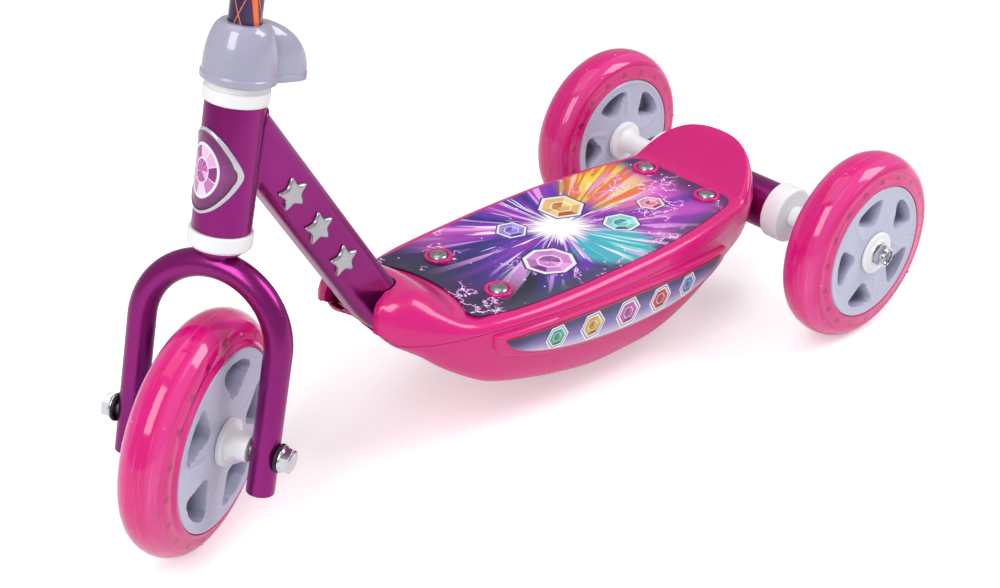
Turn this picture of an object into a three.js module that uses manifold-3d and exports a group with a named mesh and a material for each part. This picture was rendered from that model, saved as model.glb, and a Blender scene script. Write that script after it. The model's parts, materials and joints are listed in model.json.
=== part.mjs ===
// Three wheel kids scooter: frame, two-shell deck, steered fork with handlebar, three wheels
// Millimetres, +Z up, the scooter faces -X and stands on z = 0 with its steering turned to the side
import * as THREE from 'three';
import { mergeVertices } from 'three/addons/utils/BufferGeometryUtils.js';
import Module from 'manifold-3d';

const wasm = await Module();
wasm.setup();

// Clearances, and how far a cutter runs past what it cuts
const gap = { seat: 0.3, slide: 0.6, shell: 0.8, fine: 0.02 };
const overrun = 4;

// Facets in a full turn
const facets = { wheel: 32, tube: 16, bent: 10, small: 8, hex: 6 };

// Stance of the whole scooter; angles in degrees
const stance = { rake: 13, steer: 27, rearTrack: 221.4 };

const rearWheel = {
  radius: 62.5, discRadius: 44.5, discHalf: 16.1, tyreHalf: 14.5, sidewall: 52.8,
  flangeRadius: 14, neckRadius: 7.2, pocketDepth: 11, pocketTurn: 36,
};
const frontWheel = {
  radius: 70, discRadius: 52.4, discHalf: 17, tyreHalf: 14.5, sidewall: 56.8,
  flangeRadius: 13.5, neckRadius: 7.8, pocketDepth: 11.5, pocketTurn: 12,
};
const wheelBuild = {
  bore: 7.6, bushDepth: 12, flange: 3, rimFlange: 2.4, barrelStep: 4.4, edge: 0.8,
  pockets: 5, pocketPoints: 12, pocketWall: 1.5,
};
// Corners of one wheel pocket: share of the way from hub flange to barrel wall, and share of its pitch
const pocketShares = [
  [0.34, -0.15], [0.62, -0.26], [0.93, -0.29], [0.99, -0.05],
  [0.96, 0.22], [0.84, 0.28], [0.52, 0.16], [0.33, 0.02],
];

const axle = { radius: 4, bore: 4.3, end: 3.2 };
const rearNut = {
  across: 6.5, height: 5, washer: 8.2, washerHeight: 1, collar: 5.4, collarHeight: 1.5, flange: 1.4,
};
const domeNut = { across: 6.6, base: 3.2, shoulder: 3.2, dome: 5.4, flat: 4.9, washer: 8.2, washerHeight: 1.6 };

const headTube = { radius: 15.7, wall: 2, bottom: 121, top: 187.8 };
const headBush = { radius: 17.1, lower: 8.6, upper: 10.5, plug: 12, lip: 1.4 };
const badge = { centre: 151, halfHeight: 24.5, halfWidth: 15.4, thickness: 0.9 };

const fork = {
  legOffset: 40, tubeRadius: 7.8, archTop: 98.5, legEnd: 23, crownRadius: 12.6, crownTop: 111.6,
  steererRadius: 11, steererWall: 2.2, steererTop: 220, steps: 22,
};
const column = { radius: 8.5, wall: 1.6, insert: 70, top: 525 };
const handlebar = {
  radius: 9.5, half: 137, gripLength: 92, gripRadius: 13.2, gripFlange: 17, gripEnd: 15.2, lip: 4, ribs: 4,
};
const clamp = {
  outer: 15.6, height: 14, slot: 3, earReach: 29, earHalf: 5.4, boltReach: 22.5, boltRadius: 3,
};
const cap = {
  rim: 19.6, rimHeight: 3.2, top: 228.6, wall: 1.8,
  bulgeReach: 39.4, bulgeHalf: 12.6, bulgeHeight: 25, edgeOut: 0.5, steps: 5, around: 16,
};
// Cap body above its rim: share of the height, share of the rim radius
const capShares = [
  [0.16, 0.954], [0.4, 0.946], [0.537, 0.92], [0.673, 0.878], [0.81, 0.811], [0.92, 0.73], [1, 0.61],
];
const clampBolt = { head: 5, headHeight: 3.4, nut: 5.6, nutHeight: 3.4 };

// Flattened oval down tube: straight down from the head tube, passing the front axle at its offset, one bend,
// then along under the deck with a slight rise over the deck's length
const downTube = {
  halfTall: 14.7, halfWide: 11.5, corner: 8, wall: 1.8,
  slope: 59.4, offset: 122.95, bendRadius: 90, rearDrop: 3.2, runRise: 11.454, steps: 20,
};
const crossTube = {
  radius: 16.5, half: 58, wall: 2, capStart: 47, capRadius: 19, capEnd: 60.4, capWall: 2.2,
};
const emblem = { spacing: 30.4, radius: 8.4, waist: 5, thickness: 1.6, points: 5, first: 64, drop: 3 };

// Deck: two shells that meet at a parting line; the axles stand a fixed way ahead of its nose and behind its heel,
// and its floor lies a fixed height over the rear axle
const deck = {
  length: 328, halfWidth: 62.5, depth: 98.6, axleToNose: 104.3, heelToAxle: 2.3, floorRise: 18.24,
  wall: 2.2, bottomInset: 18.5, rim: 7, dish: 2.5, bellyFront: 12, stations: 22,
};
// Half outline from heel to nose: share of the length from the nose, share of the half width
const outlineShares = [
  [1, 0], [0.989, 0.32], [0.955, 0.61], [0.91, 0.762], [0.848, 0.834], [0.77, 0.916], [0.65, 0.986],
  [0.53, 1], [0.405, 0.984], [0.284, 0.936], [0.198, 0.86], [0.146, 0.782], [0.088, 0.66],
  [0.043, 0.54], [0.014, 0.478], [0.002, 0.428], [0, 0.2], [0, 0],
];
// Heights over the deck's lowest point: share of the length from the nose, share of the depth
const partingShares = [
  [0, 0.787], [0.037, 0.691], [0.085, 0.66], [0.168, 0.653], [0.235, 0.645], [0.378, 0.604],
  [0.558, 0.564], [0.68, 0.556], [0.811, 0.556], [1, 0.564],
];
const topShares = [
  [0, 0.925], [0.03, 0.935], [0.06, 0.93], [0.1, 0.928], [0.126, 0.9], [0.144, 0.862], [0.162, 0.81],
  [0.18, 0.759], [0.196, 0.729], [0.214, 0.711], [0.284, 0.678], [0.405, 0.657], [0.527, 0.645],
  [0.68, 0.629], [0.881, 0.615], [1, 0.612],
];
const bottomShares = [
  [0, 0.73], [0.046, 0.612], [0.116, 0.395], [0.189, 0.235], [0.244, 0.171], [0.293, 0.127], [0.351, 0.077],
  [0.448, 0.014], [0.534, 0], [0.625, 0.004], [0.741, 0.09], [0.841, 0.2], [0.927, 0.3], [1, 0.36],
];
// How wide the rounding from the side to the top is: share of the length, share of the half width
const roundShares = [
  [0, 0.04], [0.055, 0.25], [0.1, 0.42], [0.146, 0.38], [0.2, 0.2], [0.26, 0.112], [0.88, 0.112], [1, 0.09],
];
// Belly side from the parting line down: share of its height, share of the bottom inset
const bellyShares = [[0, 0.02], [0.3, 0.05], [0.6, 0.15], [0.8, 0.27], [0.93, 0.5], [1, 1]];
const roundSteps = 3;
// What lies behind the nose takes its place from the nose, and the rest from the deck's length
const heel = { start: 0.8872 * deck.length, height: 26, half: 47.6, sideShare: 0.95, riseShare: 1.8 };
const noseBow = { reach: 9, half: 34 };
const mouth = { from: 19, half: 12.3, tipHalf: 26 };

const sheet = {
  start: 67.5, end: 0.8811 * deck.length, bow: 10, inset: 8.2,
  thickness: 0.8, corner: 12, frontCorner: 8,
};
const boss = {
  outer: 8.8, inner: 6.3, rise: 3.2, front: 93.2, rear: 0.8515 * deck.length, half: 0.4288 * deck.halfWidth,
};
const deckBolt = { head: 5.8, dome: 2.9, shank: 3, below: 16, nut: 5, nutHeight: 4.6 };
const strap = { half: 36, halfWide: 7, thickness: 1.1 };
const label = {
  start: 0.2165 * deck.length, end: 0.7927 * deck.length, topStart: 0.579 * deck.depth, topEnd: 0.3966 * deck.depth,
  arch: 2.5, depth: 22.5, thickness: 0.5, rows: 18, columns: 3,
};
const pad = { margin: 7, topMargin: 4, ends: 7, depth: 28.5, proud: 2.4 };
const bellyScrew = {
  places: [[108, 38], [0.7409 * deck.length, 36]],
  tower: 6, pocket: 4.6, seat: 2.4, seatBelow: 16, hole: 2.2, shank: 1.9,
  head: 3.9, headHeight: 2.2, post: 4.6, grip: 9,
};

const colours = {
  pink: { color: 0xdb2882, roughness: 0.25, metalness: 0 },
  purple: { color: 0x8c2673, roughness: 0.3, metalness: 0.25 },
  lavender: { color: 0xb6b4ca, roughness: 0.35, metalness: 0 },
  white: { color: 0xf0f0f3, roughness: 0.4, metalness: 0 },
  chrome: { color: 0xc8c8cc, roughness: 0.2, metalness: 1 },
  black: { color: 0x151518, roughness: 0.6, metalness: 0 },
  print: { color: 0x3a1c66, roughness: 0.3, metalness: 0 },
  tyre: { color: 0xe0338a, roughness: 0.2, metalness: 0 },
  silver: { color: 0xb9b9bd, roughness: 0.3, metalness: 0.8 },
  steel: { color: 0x8f9094, roughness: 0.4, metalness: 0.9 },
};

// Derived places in the standing frame: x = 0 is midway between the axles
const wheelbase = deck.axleToNose + deck.length + deck.heelToAxle;
const rearAxle = new THREE.Vector3(wheelbase / 2, 0, rearWheel.radius);
const noseX = deck.axleToNose - wheelbase / 2;
const deckBottom = rearAxle.z + deck.floorRise - deck.depth * topShares.at(-1)[1];
const radians = THREE.MathUtils.degToRad;
const rake = radians(stance.rake);
const steer = radians(stance.steer);

// The turned front wheel leans, so its axle sits a little lower than its radius
function frontAxleHeight() {
  const lean = Math.asin(Math.sin(steer) * Math.sin(rake));
  const crown = frontWheel.tyreHalf;
  return (frontWheel.radius - crown) * Math.cos(lean) + crown;
}
const frontAxle = new THREE.Vector3(-wheelbase / 2, 0, frontAxleHeight());

// Solids from three.js geometry
function toSolid(geometry) {
  const bare = new THREE.BufferGeometry();
  bare.setAttribute('position', geometry.getAttribute('position').clone());
  if (geometry.index) bare.setIndex(geometry.index.clone());
  const merged = mergeVertices(bare);
  const places = merged.getAttribute('position');
  const triangles = [];
  let volume = 0;
  const a = new THREE.Vector3();
  const b = new THREE.Vector3();
  const c = new THREE.Vector3();
  for (let i = 0; i < merged.index.count; i += 3) {
    const corner = [merged.index.getX(i), merged.index.getX(i + 1), merged.index.getX(i + 2)];
    if (new Set(corner).size < 3) continue;
    triangles.push(corner);
    a.fromBufferAttribute(places, corner[0]);
    b.fromBufferAttribute(places, corner[1]);
    c.fromBufferAttribute(places, corner[2]);
    volume += a.dot(b.cross(c));
  }
  const facingOut = volume > 0 ? triangles : triangles.map(([i, j, k]) => [i, k, j]);
  return new wasm.Manifold(new wasm.Mesh({
    numProp: 3,
    vertProperties: new Float32Array(places.array),
    triVerts: new Uint32Array(facingOut.flat()),
  }));
}

function toGeometry(solid) {
  const mesh = solid.simplify(gap.fine).getMesh();
  const geometry = new THREE.BufferGeometry();
  geometry.setAttribute('position', new THREE.BufferAttribute(new Float32Array(mesh.vertProperties), 3));
  geometry.setIndex(new THREE.BufferAttribute(new Uint32Array(mesh.triVerts), 1));
  geometry.computeVertexNormals();
  return geometry;
}

function prismSolid(shape, depth) {
  return toSolid(new THREE.ExtrudeGeometry(shape, { depth, bevelEnabled: false }));
}

// Solid of revolution about Z from [radius, height] points
function turned(points, around = facets.tube) {
  const outline = points.map(([radius, height]) => new THREE.Vector2(radius, height));
  return toSolid(new THREE.LatheGeometry(outline, around).rotateX(Math.PI / 2));
}

function rod(radius, from, to, around) {
  return turned([[0, from], [radius, from], [radius, to], [0, to]], around);
}

function sleeve(inner, outer, from, to, around) {
  return turned([[inner, from], [outer, from], [outer, to], [inner, to], [inner, from]], around);
}

function moved(solid, position = [0, 0, 0], rotation = [0, 0, 0]) {
  const matrix = new THREE.Matrix4().makeRotationFromEuler(new THREE.Euler(...rotation));
  matrix.setPosition(...position);
  return solid.transform([...matrix.elements]);
}

function boxSolid(from, to) {
  const size = to.map((value, axis) => value - from[axis]);
  const middle = to.map((value, axis) => (value + from[axis]) / 2);
  return moved(toSolid(new THREE.BoxGeometry(...size)), middle);
}

// Path through corners in one plane, each corner rounded to the radius
function roundedPath(corners, radius) {
  const path = new THREE.CurvePath();
  let from = corners[0];
  for (let i = 1; i < corners.length - 1; i += 1) {
    const inward = corners[i].clone().sub(corners[i - 1]).normalize();
    const outward = corners[i + 1].clone().sub(corners[i]).normalize();
    const turn = inward.angleTo(outward);
    const tangent = radius * Math.tan(turn / 2);
    const handle = radius * Math.tan(turn / 4) * 4 / 3;
    const start = corners[i].clone().addScaledVector(inward, -tangent);
    const end = corners[i].clone().addScaledVector(outward, tangent);
    if (start.distanceTo(from) > gap.seat) path.add(new THREE.LineCurve3(from, start));
    path.add(new THREE.CubicBezierCurve3(
      start, start.clone().addScaledVector(inward, handle),
      end.clone().addScaledVector(outward, -handle), end,
    ));
    from = end;
  }
  path.add(new THREE.LineCurve3(from, corners[corners.length - 1]));
  return path;
}

function sweptTube(section, path, steps) {
  return toSolid(new THREE.ExtrudeGeometry(section, { steps, extrudePath: path, curveSegments: 2 }));
}

function circleShape(radius, around) {
  const points = [];
  for (let i = 0; i < around; i += 1) {
    const angle = 2 * Math.PI * i / around;
    points.push(new THREE.Vector2(radius * Math.cos(angle), radius * Math.sin(angle)));
  }
  return new THREE.Shape(points);
}

function roundedShape(halfX, halfY, corner) {
  const shape = new THREE.Shape();
  const centreX = halfX - corner;
  const centreY = halfY - corner;
  shape.absarc(centreX, centreY, corner, 0, Math.PI / 2);
  shape.absarc(-centreX, centreY, corner, Math.PI / 2, Math.PI);
  shape.absarc(-centreX, -centreY, corner, Math.PI, Math.PI * 3 / 2);
  shape.absarc(centreX, -centreY, corner, Math.PI * 3 / 2, 2 * Math.PI);
  return shape;
}

// Closed body between a front and a back grid of points
function plateSolid(rows, columns, pointAt) {
  const positions = [];
  const index = [];
  const stride = columns + 1;
  const sheetSize = (rows + 1) * stride;
  for (const face of [0, 1]) {
    for (let i = 0; i <= rows; i += 1) {
      for (let j = 0; j <= columns; j += 1) positions.push(...pointAt(i / rows, j / columns, face));
    }
  }
  const quad = (a, b, c, d) => index.push(a, b, c, a, c, d);
  const node = (i, j, face) => face * sheetSize + i * stride + j;
  for (let i = 0; i < rows; i += 1) {
    for (let j = 0; j < columns; j += 1) {
      quad(node(i, j, 0), node(i + 1, j, 0), node(i + 1, j + 1, 0), node(i, j + 1, 0));
      quad(node(i, j, 1), node(i, j + 1, 1), node(i + 1, j + 1, 1), node(i + 1, j, 1));
    }
    quad(node(i, 0, 0), node(i, 0, 1), node(i + 1, 0, 1), node(i + 1, 0, 0));
    quad(node(i, columns, 0), node(i + 1, columns, 0), node(i + 1, columns, 1), node(i, columns, 1));
  }
  for (let j = 0; j < columns; j += 1) {
    quad(node(0, j, 0), node(0, j + 1, 0), node(0, j + 1, 1), node(0, j, 1));
    quad(node(rows, j, 0), node(rows, j, 1), node(rows, j + 1, 1), node(rows, j + 1, 0));
  }
  return gridSolid(positions, index);
}

// Closed body from rings of points; the first and last ring fold flat onto a line
function ringSolid(rings) {
  const positions = rings.flat().flatMap((point) => point.toArray());
  const count = rings[0].length;
  const index = [];
  for (let k = 0; k < rings.length - 1; k += 1) {
    for (let j = 0; j < count; j += 1) {
      const next = (j + 1) % count;
      const low = k * count;
      const high = low + count;
      index.push(low + j, low + next, high + next, low + j, high + next, high + j);
    }
  }
  return gridSolid(positions, index);
}

function gridSolid(positions, index) {
  const geometry = new THREE.BufferGeometry();
  geometry.setAttribute('position', new THREE.Float32BufferAttribute(positions, 3));
  geometry.setIndex(index);
  return toSolid(geometry);
}

// Smooth height along a length through hand-chosen share stations
function smoothProfile(shares, length, height) {
  const slopes = shares.map((point, i) => {
    const before = shares[Math.max(i - 1, 0)];
    const after = shares[Math.min(i + 1, shares.length - 1)];
    return (after[1] - before[1]) / (after[0] - before[0]);
  });
  return (distance) => {
    const share = THREE.MathUtils.clamp(distance / length, shares[0][0], shares[shares.length - 1][0]);
    let i = 0;
    while (i < shares.length - 2 && share > shares[i + 1][0]) i += 1;
    const span = shares[i + 1][0] - shares[i][0];
    const t = (share - shares[i][0]) / span;
    const start = (1 + 2 * t) * (1 - t) ** 2 * shares[i][1] + t * (1 - t) ** 2 * span * slopes[i];
    const end = t * t * (3 - 2 * t) * shares[i + 1][1] + t * t * (t - 1) * span * slopes[i + 1];
    return height * (start + end);
  };
}

const materialOf = (name) => new THREE.MeshStandardMaterial(colours[name]);

function addPiece(parent, name, solid, colour) {
  const mesh = new THREE.Mesh(toGeometry(solid), materialOf(colour));
  mesh.name = name;
  parent.add(mesh);
}

// Wheels: local Z is the axle
function rimSolid(wheel) {
  const { discRadius, discHalf } = wheel;
  const barrel = discRadius - wheelBuild.barrelStep;
  const flange = discHalf - wheelBuild.rimFlange;
  const shoulder = discHalf - wheelBuild.edge;
  const edge = discRadius - wheelBuild.edge;
  let rim = turned([
    [wheelBuild.bore, -discHalf], [edge, -discHalf], [discRadius, -shoulder], [discRadius, -flange],
    [barrel, -flange], [barrel, flange], [discRadius, flange], [discRadius, shoulder], [edge, discHalf],
    [wheelBuild.bore, discHalf], [wheelBuild.bore, -discHalf],
  ], facets.wheel);
  const pocket = pocketSolid(wheel);
  for (let i = 0; i < wheelBuild.pockets; i += 1) {
    const angle = radians(wheel.pocketTurn) + 2 * Math.PI * i / wheelBuild.pockets;
    rim = rim.subtract(moved(pocket, [0, 0, discHalf - wheel.pocketDepth], [0, 0, angle]));
    rim = rim.subtract(moved(pocket, [0, 0, -discHalf - overrun], [0, 0, angle]));
  }
  return rim;
}

function pocketSolid(wheel) {
  const pitch = 2 * Math.PI / wheelBuild.pockets;
  const span = wheel.discRadius - wheelBuild.barrelStep - wheelBuild.pocketWall - wheel.flangeRadius;
  const corners = pocketShares.map(([out, turn]) => {
    const radius = wheel.flangeRadius + span * out;
    return new THREE.Vector3(radius * Math.cos(pitch * turn), radius * Math.sin(pitch * turn), 0);
  });
  const curve = new THREE.CatmullRomCurve3(corners, true);
  const loop = curve.getSpacedPoints(wheelBuild.pocketPoints).slice(0, -1);
  const shape = new THREE.Shape(loop.map((point) => new THREE.Vector2(point.x, point.y)));
  return prismSolid(shape, wheel.pocketDepth + overrun);
}

function tyreSolid(wheel) {
  const inner = wheel.discRadius - wheelBuild.barrelStep + gap.seat;
  const channel = wheel.discHalf - wheelBuild.rimFlange - gap.seat;
  const seat = wheel.discRadius + gap.seat;
  const side = [];
  const crownSteps = 3;
  for (let i = 0; i <= crownSteps; i += 1) {
    const angle = Math.PI / 2 * i / crownSteps;
    const radius = wheel.sidewall + (wheel.radius - wheel.sidewall) * Math.sin(angle);
    side.push([radius, wheel.tyreHalf * Math.cos(angle)]);
  }
  const half = [[inner, channel], [seat, channel], [seat, wheel.discHalf], ...side.slice(0, -1)];
  const mirrored = half.map(([radius, height]) => [radius, -height]);
  const profile = [...mirrored, [wheel.radius, 0], ...half.reverse(), mirrored[0]];
  return turned(profile, facets.wheel);
}

// Bush with a flange on the disc face, a sleeve in the bore and a neck out to its neighbour
function bushSolid(wheel, flange, neckEnd) {
  const face = wheel.discHalf + gap.seat;
  const shoulder = face + flange;
  const sleeveRadius = wheelBuild.bore - gap.seat;
  const depth = wheel.discHalf - wheelBuild.bushDepth;
  return turned([
    [axle.bore, depth], [sleeveRadius, depth], [sleeveRadius, face], [wheel.flangeRadius, face],
    [wheel.flangeRadius, shoulder], [wheel.neckRadius, shoulder], [wheel.neckRadius, neckEnd],
    [axle.bore, neckEnd], [axle.bore, depth],
  ]);
}

// The outer bush of a rear wheel is only a flange and a sleeve
function flushBushSolid(wheel) {
  return bushSolid(wheel, rearNut.flange, wheel.discHalf + gap.seat + rearNut.flange + gap.seat);
}

function addWheel(parent, prefix, wheel, outerBush, innerBush, innerName, outerName) {
  addPiece(parent, `${prefix}_rim`, rimSolid(wheel), 'lavender');
  addPiece(parent, `${prefix}_tyre`, tyreSolid(wheel), 'tyre');
  addPiece(parent, `${prefix}_${innerName}`, moved(innerBush, [0, 0, 0], [Math.PI, 0, 0]), 'white');
  addPiece(parent, `${prefix}_${outerName}`, outerBush, 'white');
}

function hexPrism(across, from, to) {
  return moved(rod(across / Math.cos(Math.PI / facets.hex), from, to, facets.hex));
}

// Hex lock nut with its washer face and plain collar, threaded over the axle end
function lockNut(size, from) {
  const faceEnd = from + size.washerHeight;
  const hexEnd = faceEnd + size.height;
  const body = sleeve(axle.bore, size.washer, from, faceEnd + gap.seat, facets.tube)
    .add(hexPrism(size.across, faceEnd, hexEnd))
    .add(rod(size.collar, hexEnd - gap.seat, hexEnd + size.collarHeight, facets.tube));
  return body.subtract(rod(axle.bore, from - overrun, hexEnd + size.collarHeight + overrun));
}

// Cap nut closed at its outer end, with a bevelled flat end
function domeNutSolid(from) {
  const { across, shoulder, dome, flat } = domeNut;
  const base = from + domeNut.base;
  const cover = [
    [0, base - gap.seat], [across, base - gap.seat], [across, base + shoulder],
    [flat, base + dome], [0, base + dome],
  ];
  const body = hexPrism(across, from, base).add(turned(cover));
  return body.subtract(rod(axle.bore, from - overrun, base + axle.end));
}

// Steering: local Z runs up the steering axis from the front axle, local Y is the front axle
const headBushTop = headTube.top + gap.seat + headBush.upper;
const clampBottom = headBushTop + gap.seat;

function forkSolid() {
  const side = fork.legOffset;
  const top = fork.archTop;
  const corners = [
    new THREE.Vector3(0, -side, -fork.legEnd), new THREE.Vector3(0, -side, top),
    new THREE.Vector3(0, side, top), new THREE.Vector3(0, side, -fork.legEnd),
  ];
  const arch = sweptTube(circleShape(fork.tubeRadius, facets.bent), roundedPath(corners, side), fork.steps);
  const crown = rod(fork.crownRadius, top, fork.crownTop);
  const steerer = rod(fork.steererRadius, fork.crownTop - gap.seat, fork.steererTop);
  const inside = fork.steererRadius - fork.steererWall;
  const socket = rod(inside, fork.steererTop - column.insert - overrun, fork.steererTop + overrun);
  const across = rod(axle.bore, -side - fork.crownRadius, side + fork.crownRadius);
  const bores = socket.add(moved(across, [0, 0, 0], [-Math.PI / 2, 0, 0]));
  return arch.add(crown).add(steerer).subtract(bores);
}

function columnSolid() {
  const bottom = fork.steererTop - column.insert;
  const bar = moved(rod(handlebar.radius + gap.seat, -column.radius * 2, column.radius * 2),
    [0, 0, column.top], [Math.PI / 2, 0, 0]);
  return sleeve(column.radius - column.wall, column.radius, bottom, column.top).subtract(bar);
}

function clampSolid() {
  const top = clampBottom + clamp.height;
  const inner = fork.steererRadius + gap.seat;
  const ears = boxSolid([0, -clamp.earHalf, clampBottom], [clamp.earReach, clamp.earHalf, top]);
  const slotHalf = clamp.slot / 2;
  const slot = boxSolid([0, -slotHalf, clampBottom - overrun], [clamp.earReach + overrun, slotHalf, top + overrun]);
  const hole = moved(rod(clamp.boltRadius + gap.seat, -clamp.outer, clamp.outer, facets.small),
    [clamp.boltReach, 0, clampBottom + clamp.height / 2], [Math.PI / 2, 0, 0]);
  return rod(clamp.outer, clampBottom, top).add(ears)
    .subtract(rod(inner, clampBottom - overrun, top + overrun)).subtract(slot).subtract(hole);
}

function clampBoltSolid() {
  const face = clamp.earHalf + gap.seat;
  const end = face + clampBolt.nutHeight;
  return rod(clampBolt.head, -face - clampBolt.headHeight, -face, facets.tube)
    .add(rod(clamp.boltRadius, -face - gap.seat, end, facets.small));
}

function clampNutSolid() {
  const face = clamp.earHalf + gap.seat;
  return hexPrism(clampBolt.nut, face, face + clampBolt.nutHeight)
    .subtract(rod(clamp.boltRadius + gap.seat, 0, face + clampBolt.nutHeight + overrun, facets.small));
}

// Bulge of the cap: round-ended outline, upright to the rise, then drawn in towards the column
function bulgeSolid(reach, half, bottom, rise, height) {
  const ringOf = (scale, z) => Array.from({ length: cap.around }, (_, j) => {
    const angle = 2 * Math.PI * (j + 1 / 2) / cap.around;
    const centre = Math.cos(angle) > 0 ? (reach - half) * scale : 0;
    return new THREE.Vector3(centre + half * scale * Math.cos(angle), half * scale * Math.sin(angle), z);
  });
  const rings = [ringOf(0, bottom), ringOf(1, bottom)];
  for (let k = 0; k <= cap.steps; k += 1) {
    const climb = Math.PI / 2 * k / cap.steps;
    rings.push(ringOf(k < cap.steps ? Math.cos(climb) : 0, rise + height * Math.sin(climb)));
  }
  return ringSolid(rings);
}

function capBody(wall, bottom) {
  const top = cap.top - wall;
  const height = cap.top - clampBottom;
  const side = capShares.map(([up, out]) => [cap.rim * out - wall, clampBottom + height * up - wall * up]);
  return turned([
    [0, bottom], [cap.rim - wall, bottom], [cap.rim - wall, clampBottom + cap.rimHeight],
    ...side, [0, top],
  ]);
}

function capSolid() {
  const bottom = clampBottom + gap.slide;
  const hole = column.radius + gap.seat;
  const rise = bottom + cap.rimHeight;
  const { bulgeReach, bulgeHalf, bulgeHeight, edgeOut, wall } = cap;
  const outer = bulgeSolid(bulgeReach, bulgeHalf, bottom, rise, bulgeHeight);
  const lip = bulgeSolid(bulgeReach + edgeOut, bulgeHalf + edgeOut, bottom, rise, bulgeHeight)
    .intersect(boxSolid([-cap.rim, -cap.rim, bottom], [bulgeReach + overrun, cap.rim, rise]));
  const inner = bulgeSolid(bulgeReach - wall, bulgeHalf - wall, bottom - overrun, rise, bulgeHeight - wall);
  return capBody(0, bottom).add(outer).add(lip)
    .subtract(capBody(wall, bottom - overrun)).subtract(inner)
    .subtract(rod(hole, bottom, cap.top + overrun));
}

function handlebarSolid() {
  return sleeve(handlebar.radius - fork.steererWall, handlebar.radius, -handlebar.half, handlebar.half);
}

// Grip from its inner flange to the closed outer end
function gripSolid() {
  const end = handlebar.half + handlebar.lip;
  const start = end - handlebar.gripLength;
  const bore = handlebar.radius + gap.seat;
  const flangeEnd = start + handlebar.lip;
  const bulb = end - handlebar.lip;
  const points = [[bore, start], [handlebar.gripFlange, start], [handlebar.gripFlange, flangeEnd]];
  const pitch = (bulb - handlebar.lip - flangeEnd) / handlebar.ribs;
  for (let i = 0; i < handlebar.ribs; i += 1) {
    const from = flangeEnd + pitch * i;
    points.push([handlebar.gripRadius - gap.shell, from], [handlebar.gripRadius, from + pitch / 4]);
    points.push([handlebar.gripRadius, from + pitch * 3 / 4]);
  }
  points.push([handlebar.gripRadius, bulb - handlebar.lip], [handlebar.gripEnd, bulb]);
  points.push([handlebar.gripEnd, end - gap.shell], [handlebar.gripRadius, end], [0, end]);
  points.push([0, handlebar.half + gap.seat], [bore, handlebar.half + gap.seat], [bore, start]);
  return turned(points);
}

// Head: local Z is the steering axis, not turned with the steering
function headBushSolid(lip, into, flip) {
  const inner = fork.steererRadius + gap.seat;
  const plug = headTube.radius - headTube.wall - gap.seat;
  const profile = [
    [inner, 0], [headBush.radius - gap.shell, 0], [headBush.radius, gap.shell], [headBush.radius, lip],
    [plug, lip], [plug, lip + into], [inner, lip + into], [inner, 0],
  ];
  return moved(turned(profile), [0, 0, 0], [flip ? Math.PI : 0, 0, 0]);
}

// Oval plate bent round the front of the head tube
function badgeSolid() {
  const inner = headTube.radius + gap.seat;
  const outer = inner + badge.thickness;
  const low = badge.centre - badge.halfHeight;
  const high = badge.centre + badge.halfHeight;
  const oval = new THREE.Shape();
  oval.absellipse(0, 0, badge.halfHeight, badge.halfWidth, 0, 2 * Math.PI);
  const prism = prismSolid(oval, 2 * outer);
  return sleeve(inner, outer, low - overrun, high + overrun, facets.wheel)
    .intersect(moved(prism, [0, 0, badge.centre], [0, -Math.PI / 2, 0]));
}

function headPlace(solid) {
  return moved(solid, frontAxle.toArray(), [0, rake, 0]);
}

// Frame tubes
const slope = radians(downTube.slope);
const tubeRun = Math.atan2(downTube.runRise, deck.length);
const downDirection = new THREE.Vector3(Math.cos(slope), 0, -Math.sin(slope));
const downNormal = new THREE.Vector3(Math.sin(slope), 0, Math.cos(slope));

// Where the line of the down tube crosses a given height
function onDownTube(height) {
  const foot = frontAxle.clone().addScaledVector(downNormal, downTube.offset);
  return foot.addScaledVector(downDirection, (foot.z - height) / Math.sin(slope));
}

function downTubePath(start) {
  const rear = new THREE.Vector3(rearAxle.x, 0, rearAxle.z - downTube.rearDrop);
  const ahead = (point) => rear.z + (rear.x - point.x) * Math.tan(tubeRun);
  let corner = onDownTube(rear.z);
  for (let i = 0; i < deck.stations; i += 1) corner = onDownTube(ahead(corner));
  return roundedPath([start, corner, rear], downTube.bendRadius);
}

function downTubeSolid(grow) {
  const section = roundedShape(downTube.halfWide + grow, downTube.halfTall + grow, downTube.corner + grow);
  const head = onDownTube(frontAxle.z + headTube.top * Math.cos(rake));
  return sweptTube(section, downTubePath(head), downTube.steps);
}

function trimmedDownTube() {
  const head = headPlace(rod(headTube.radius + gap.seat, 0, fork.steererTop + column.insert));
  const across = moved(rod(crossTube.radius + gap.seat, -crossTube.half, crossTube.half),
    rearAxle.toArray(), [Math.PI / 2, 0, 0]);
  const cut = downTubeSolid(0).subtract(downTubeSolid(-downTube.wall)).subtract(head).subtract(across);
  return largestPart(cut);
}

// The tube's tip beyond the head tube, and its stub behind the cross tube, fall away
function largestPart(solid) {
  const parts = solid.decompose();
  return parts.reduce((best, part) => (part.volume() > best.volume() ? part : best));
}

// Deck surfaces
const partingAt = smoothProfile(partingShares, deck.length, deck.depth);
const topAt = smoothProfile(topShares, deck.length, deck.depth);
const bottomAt = smoothProfile(bottomShares, deck.length, deck.depth);
const roundAt = smoothProfile(roundShares, deck.length, deck.halfWidth);

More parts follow.
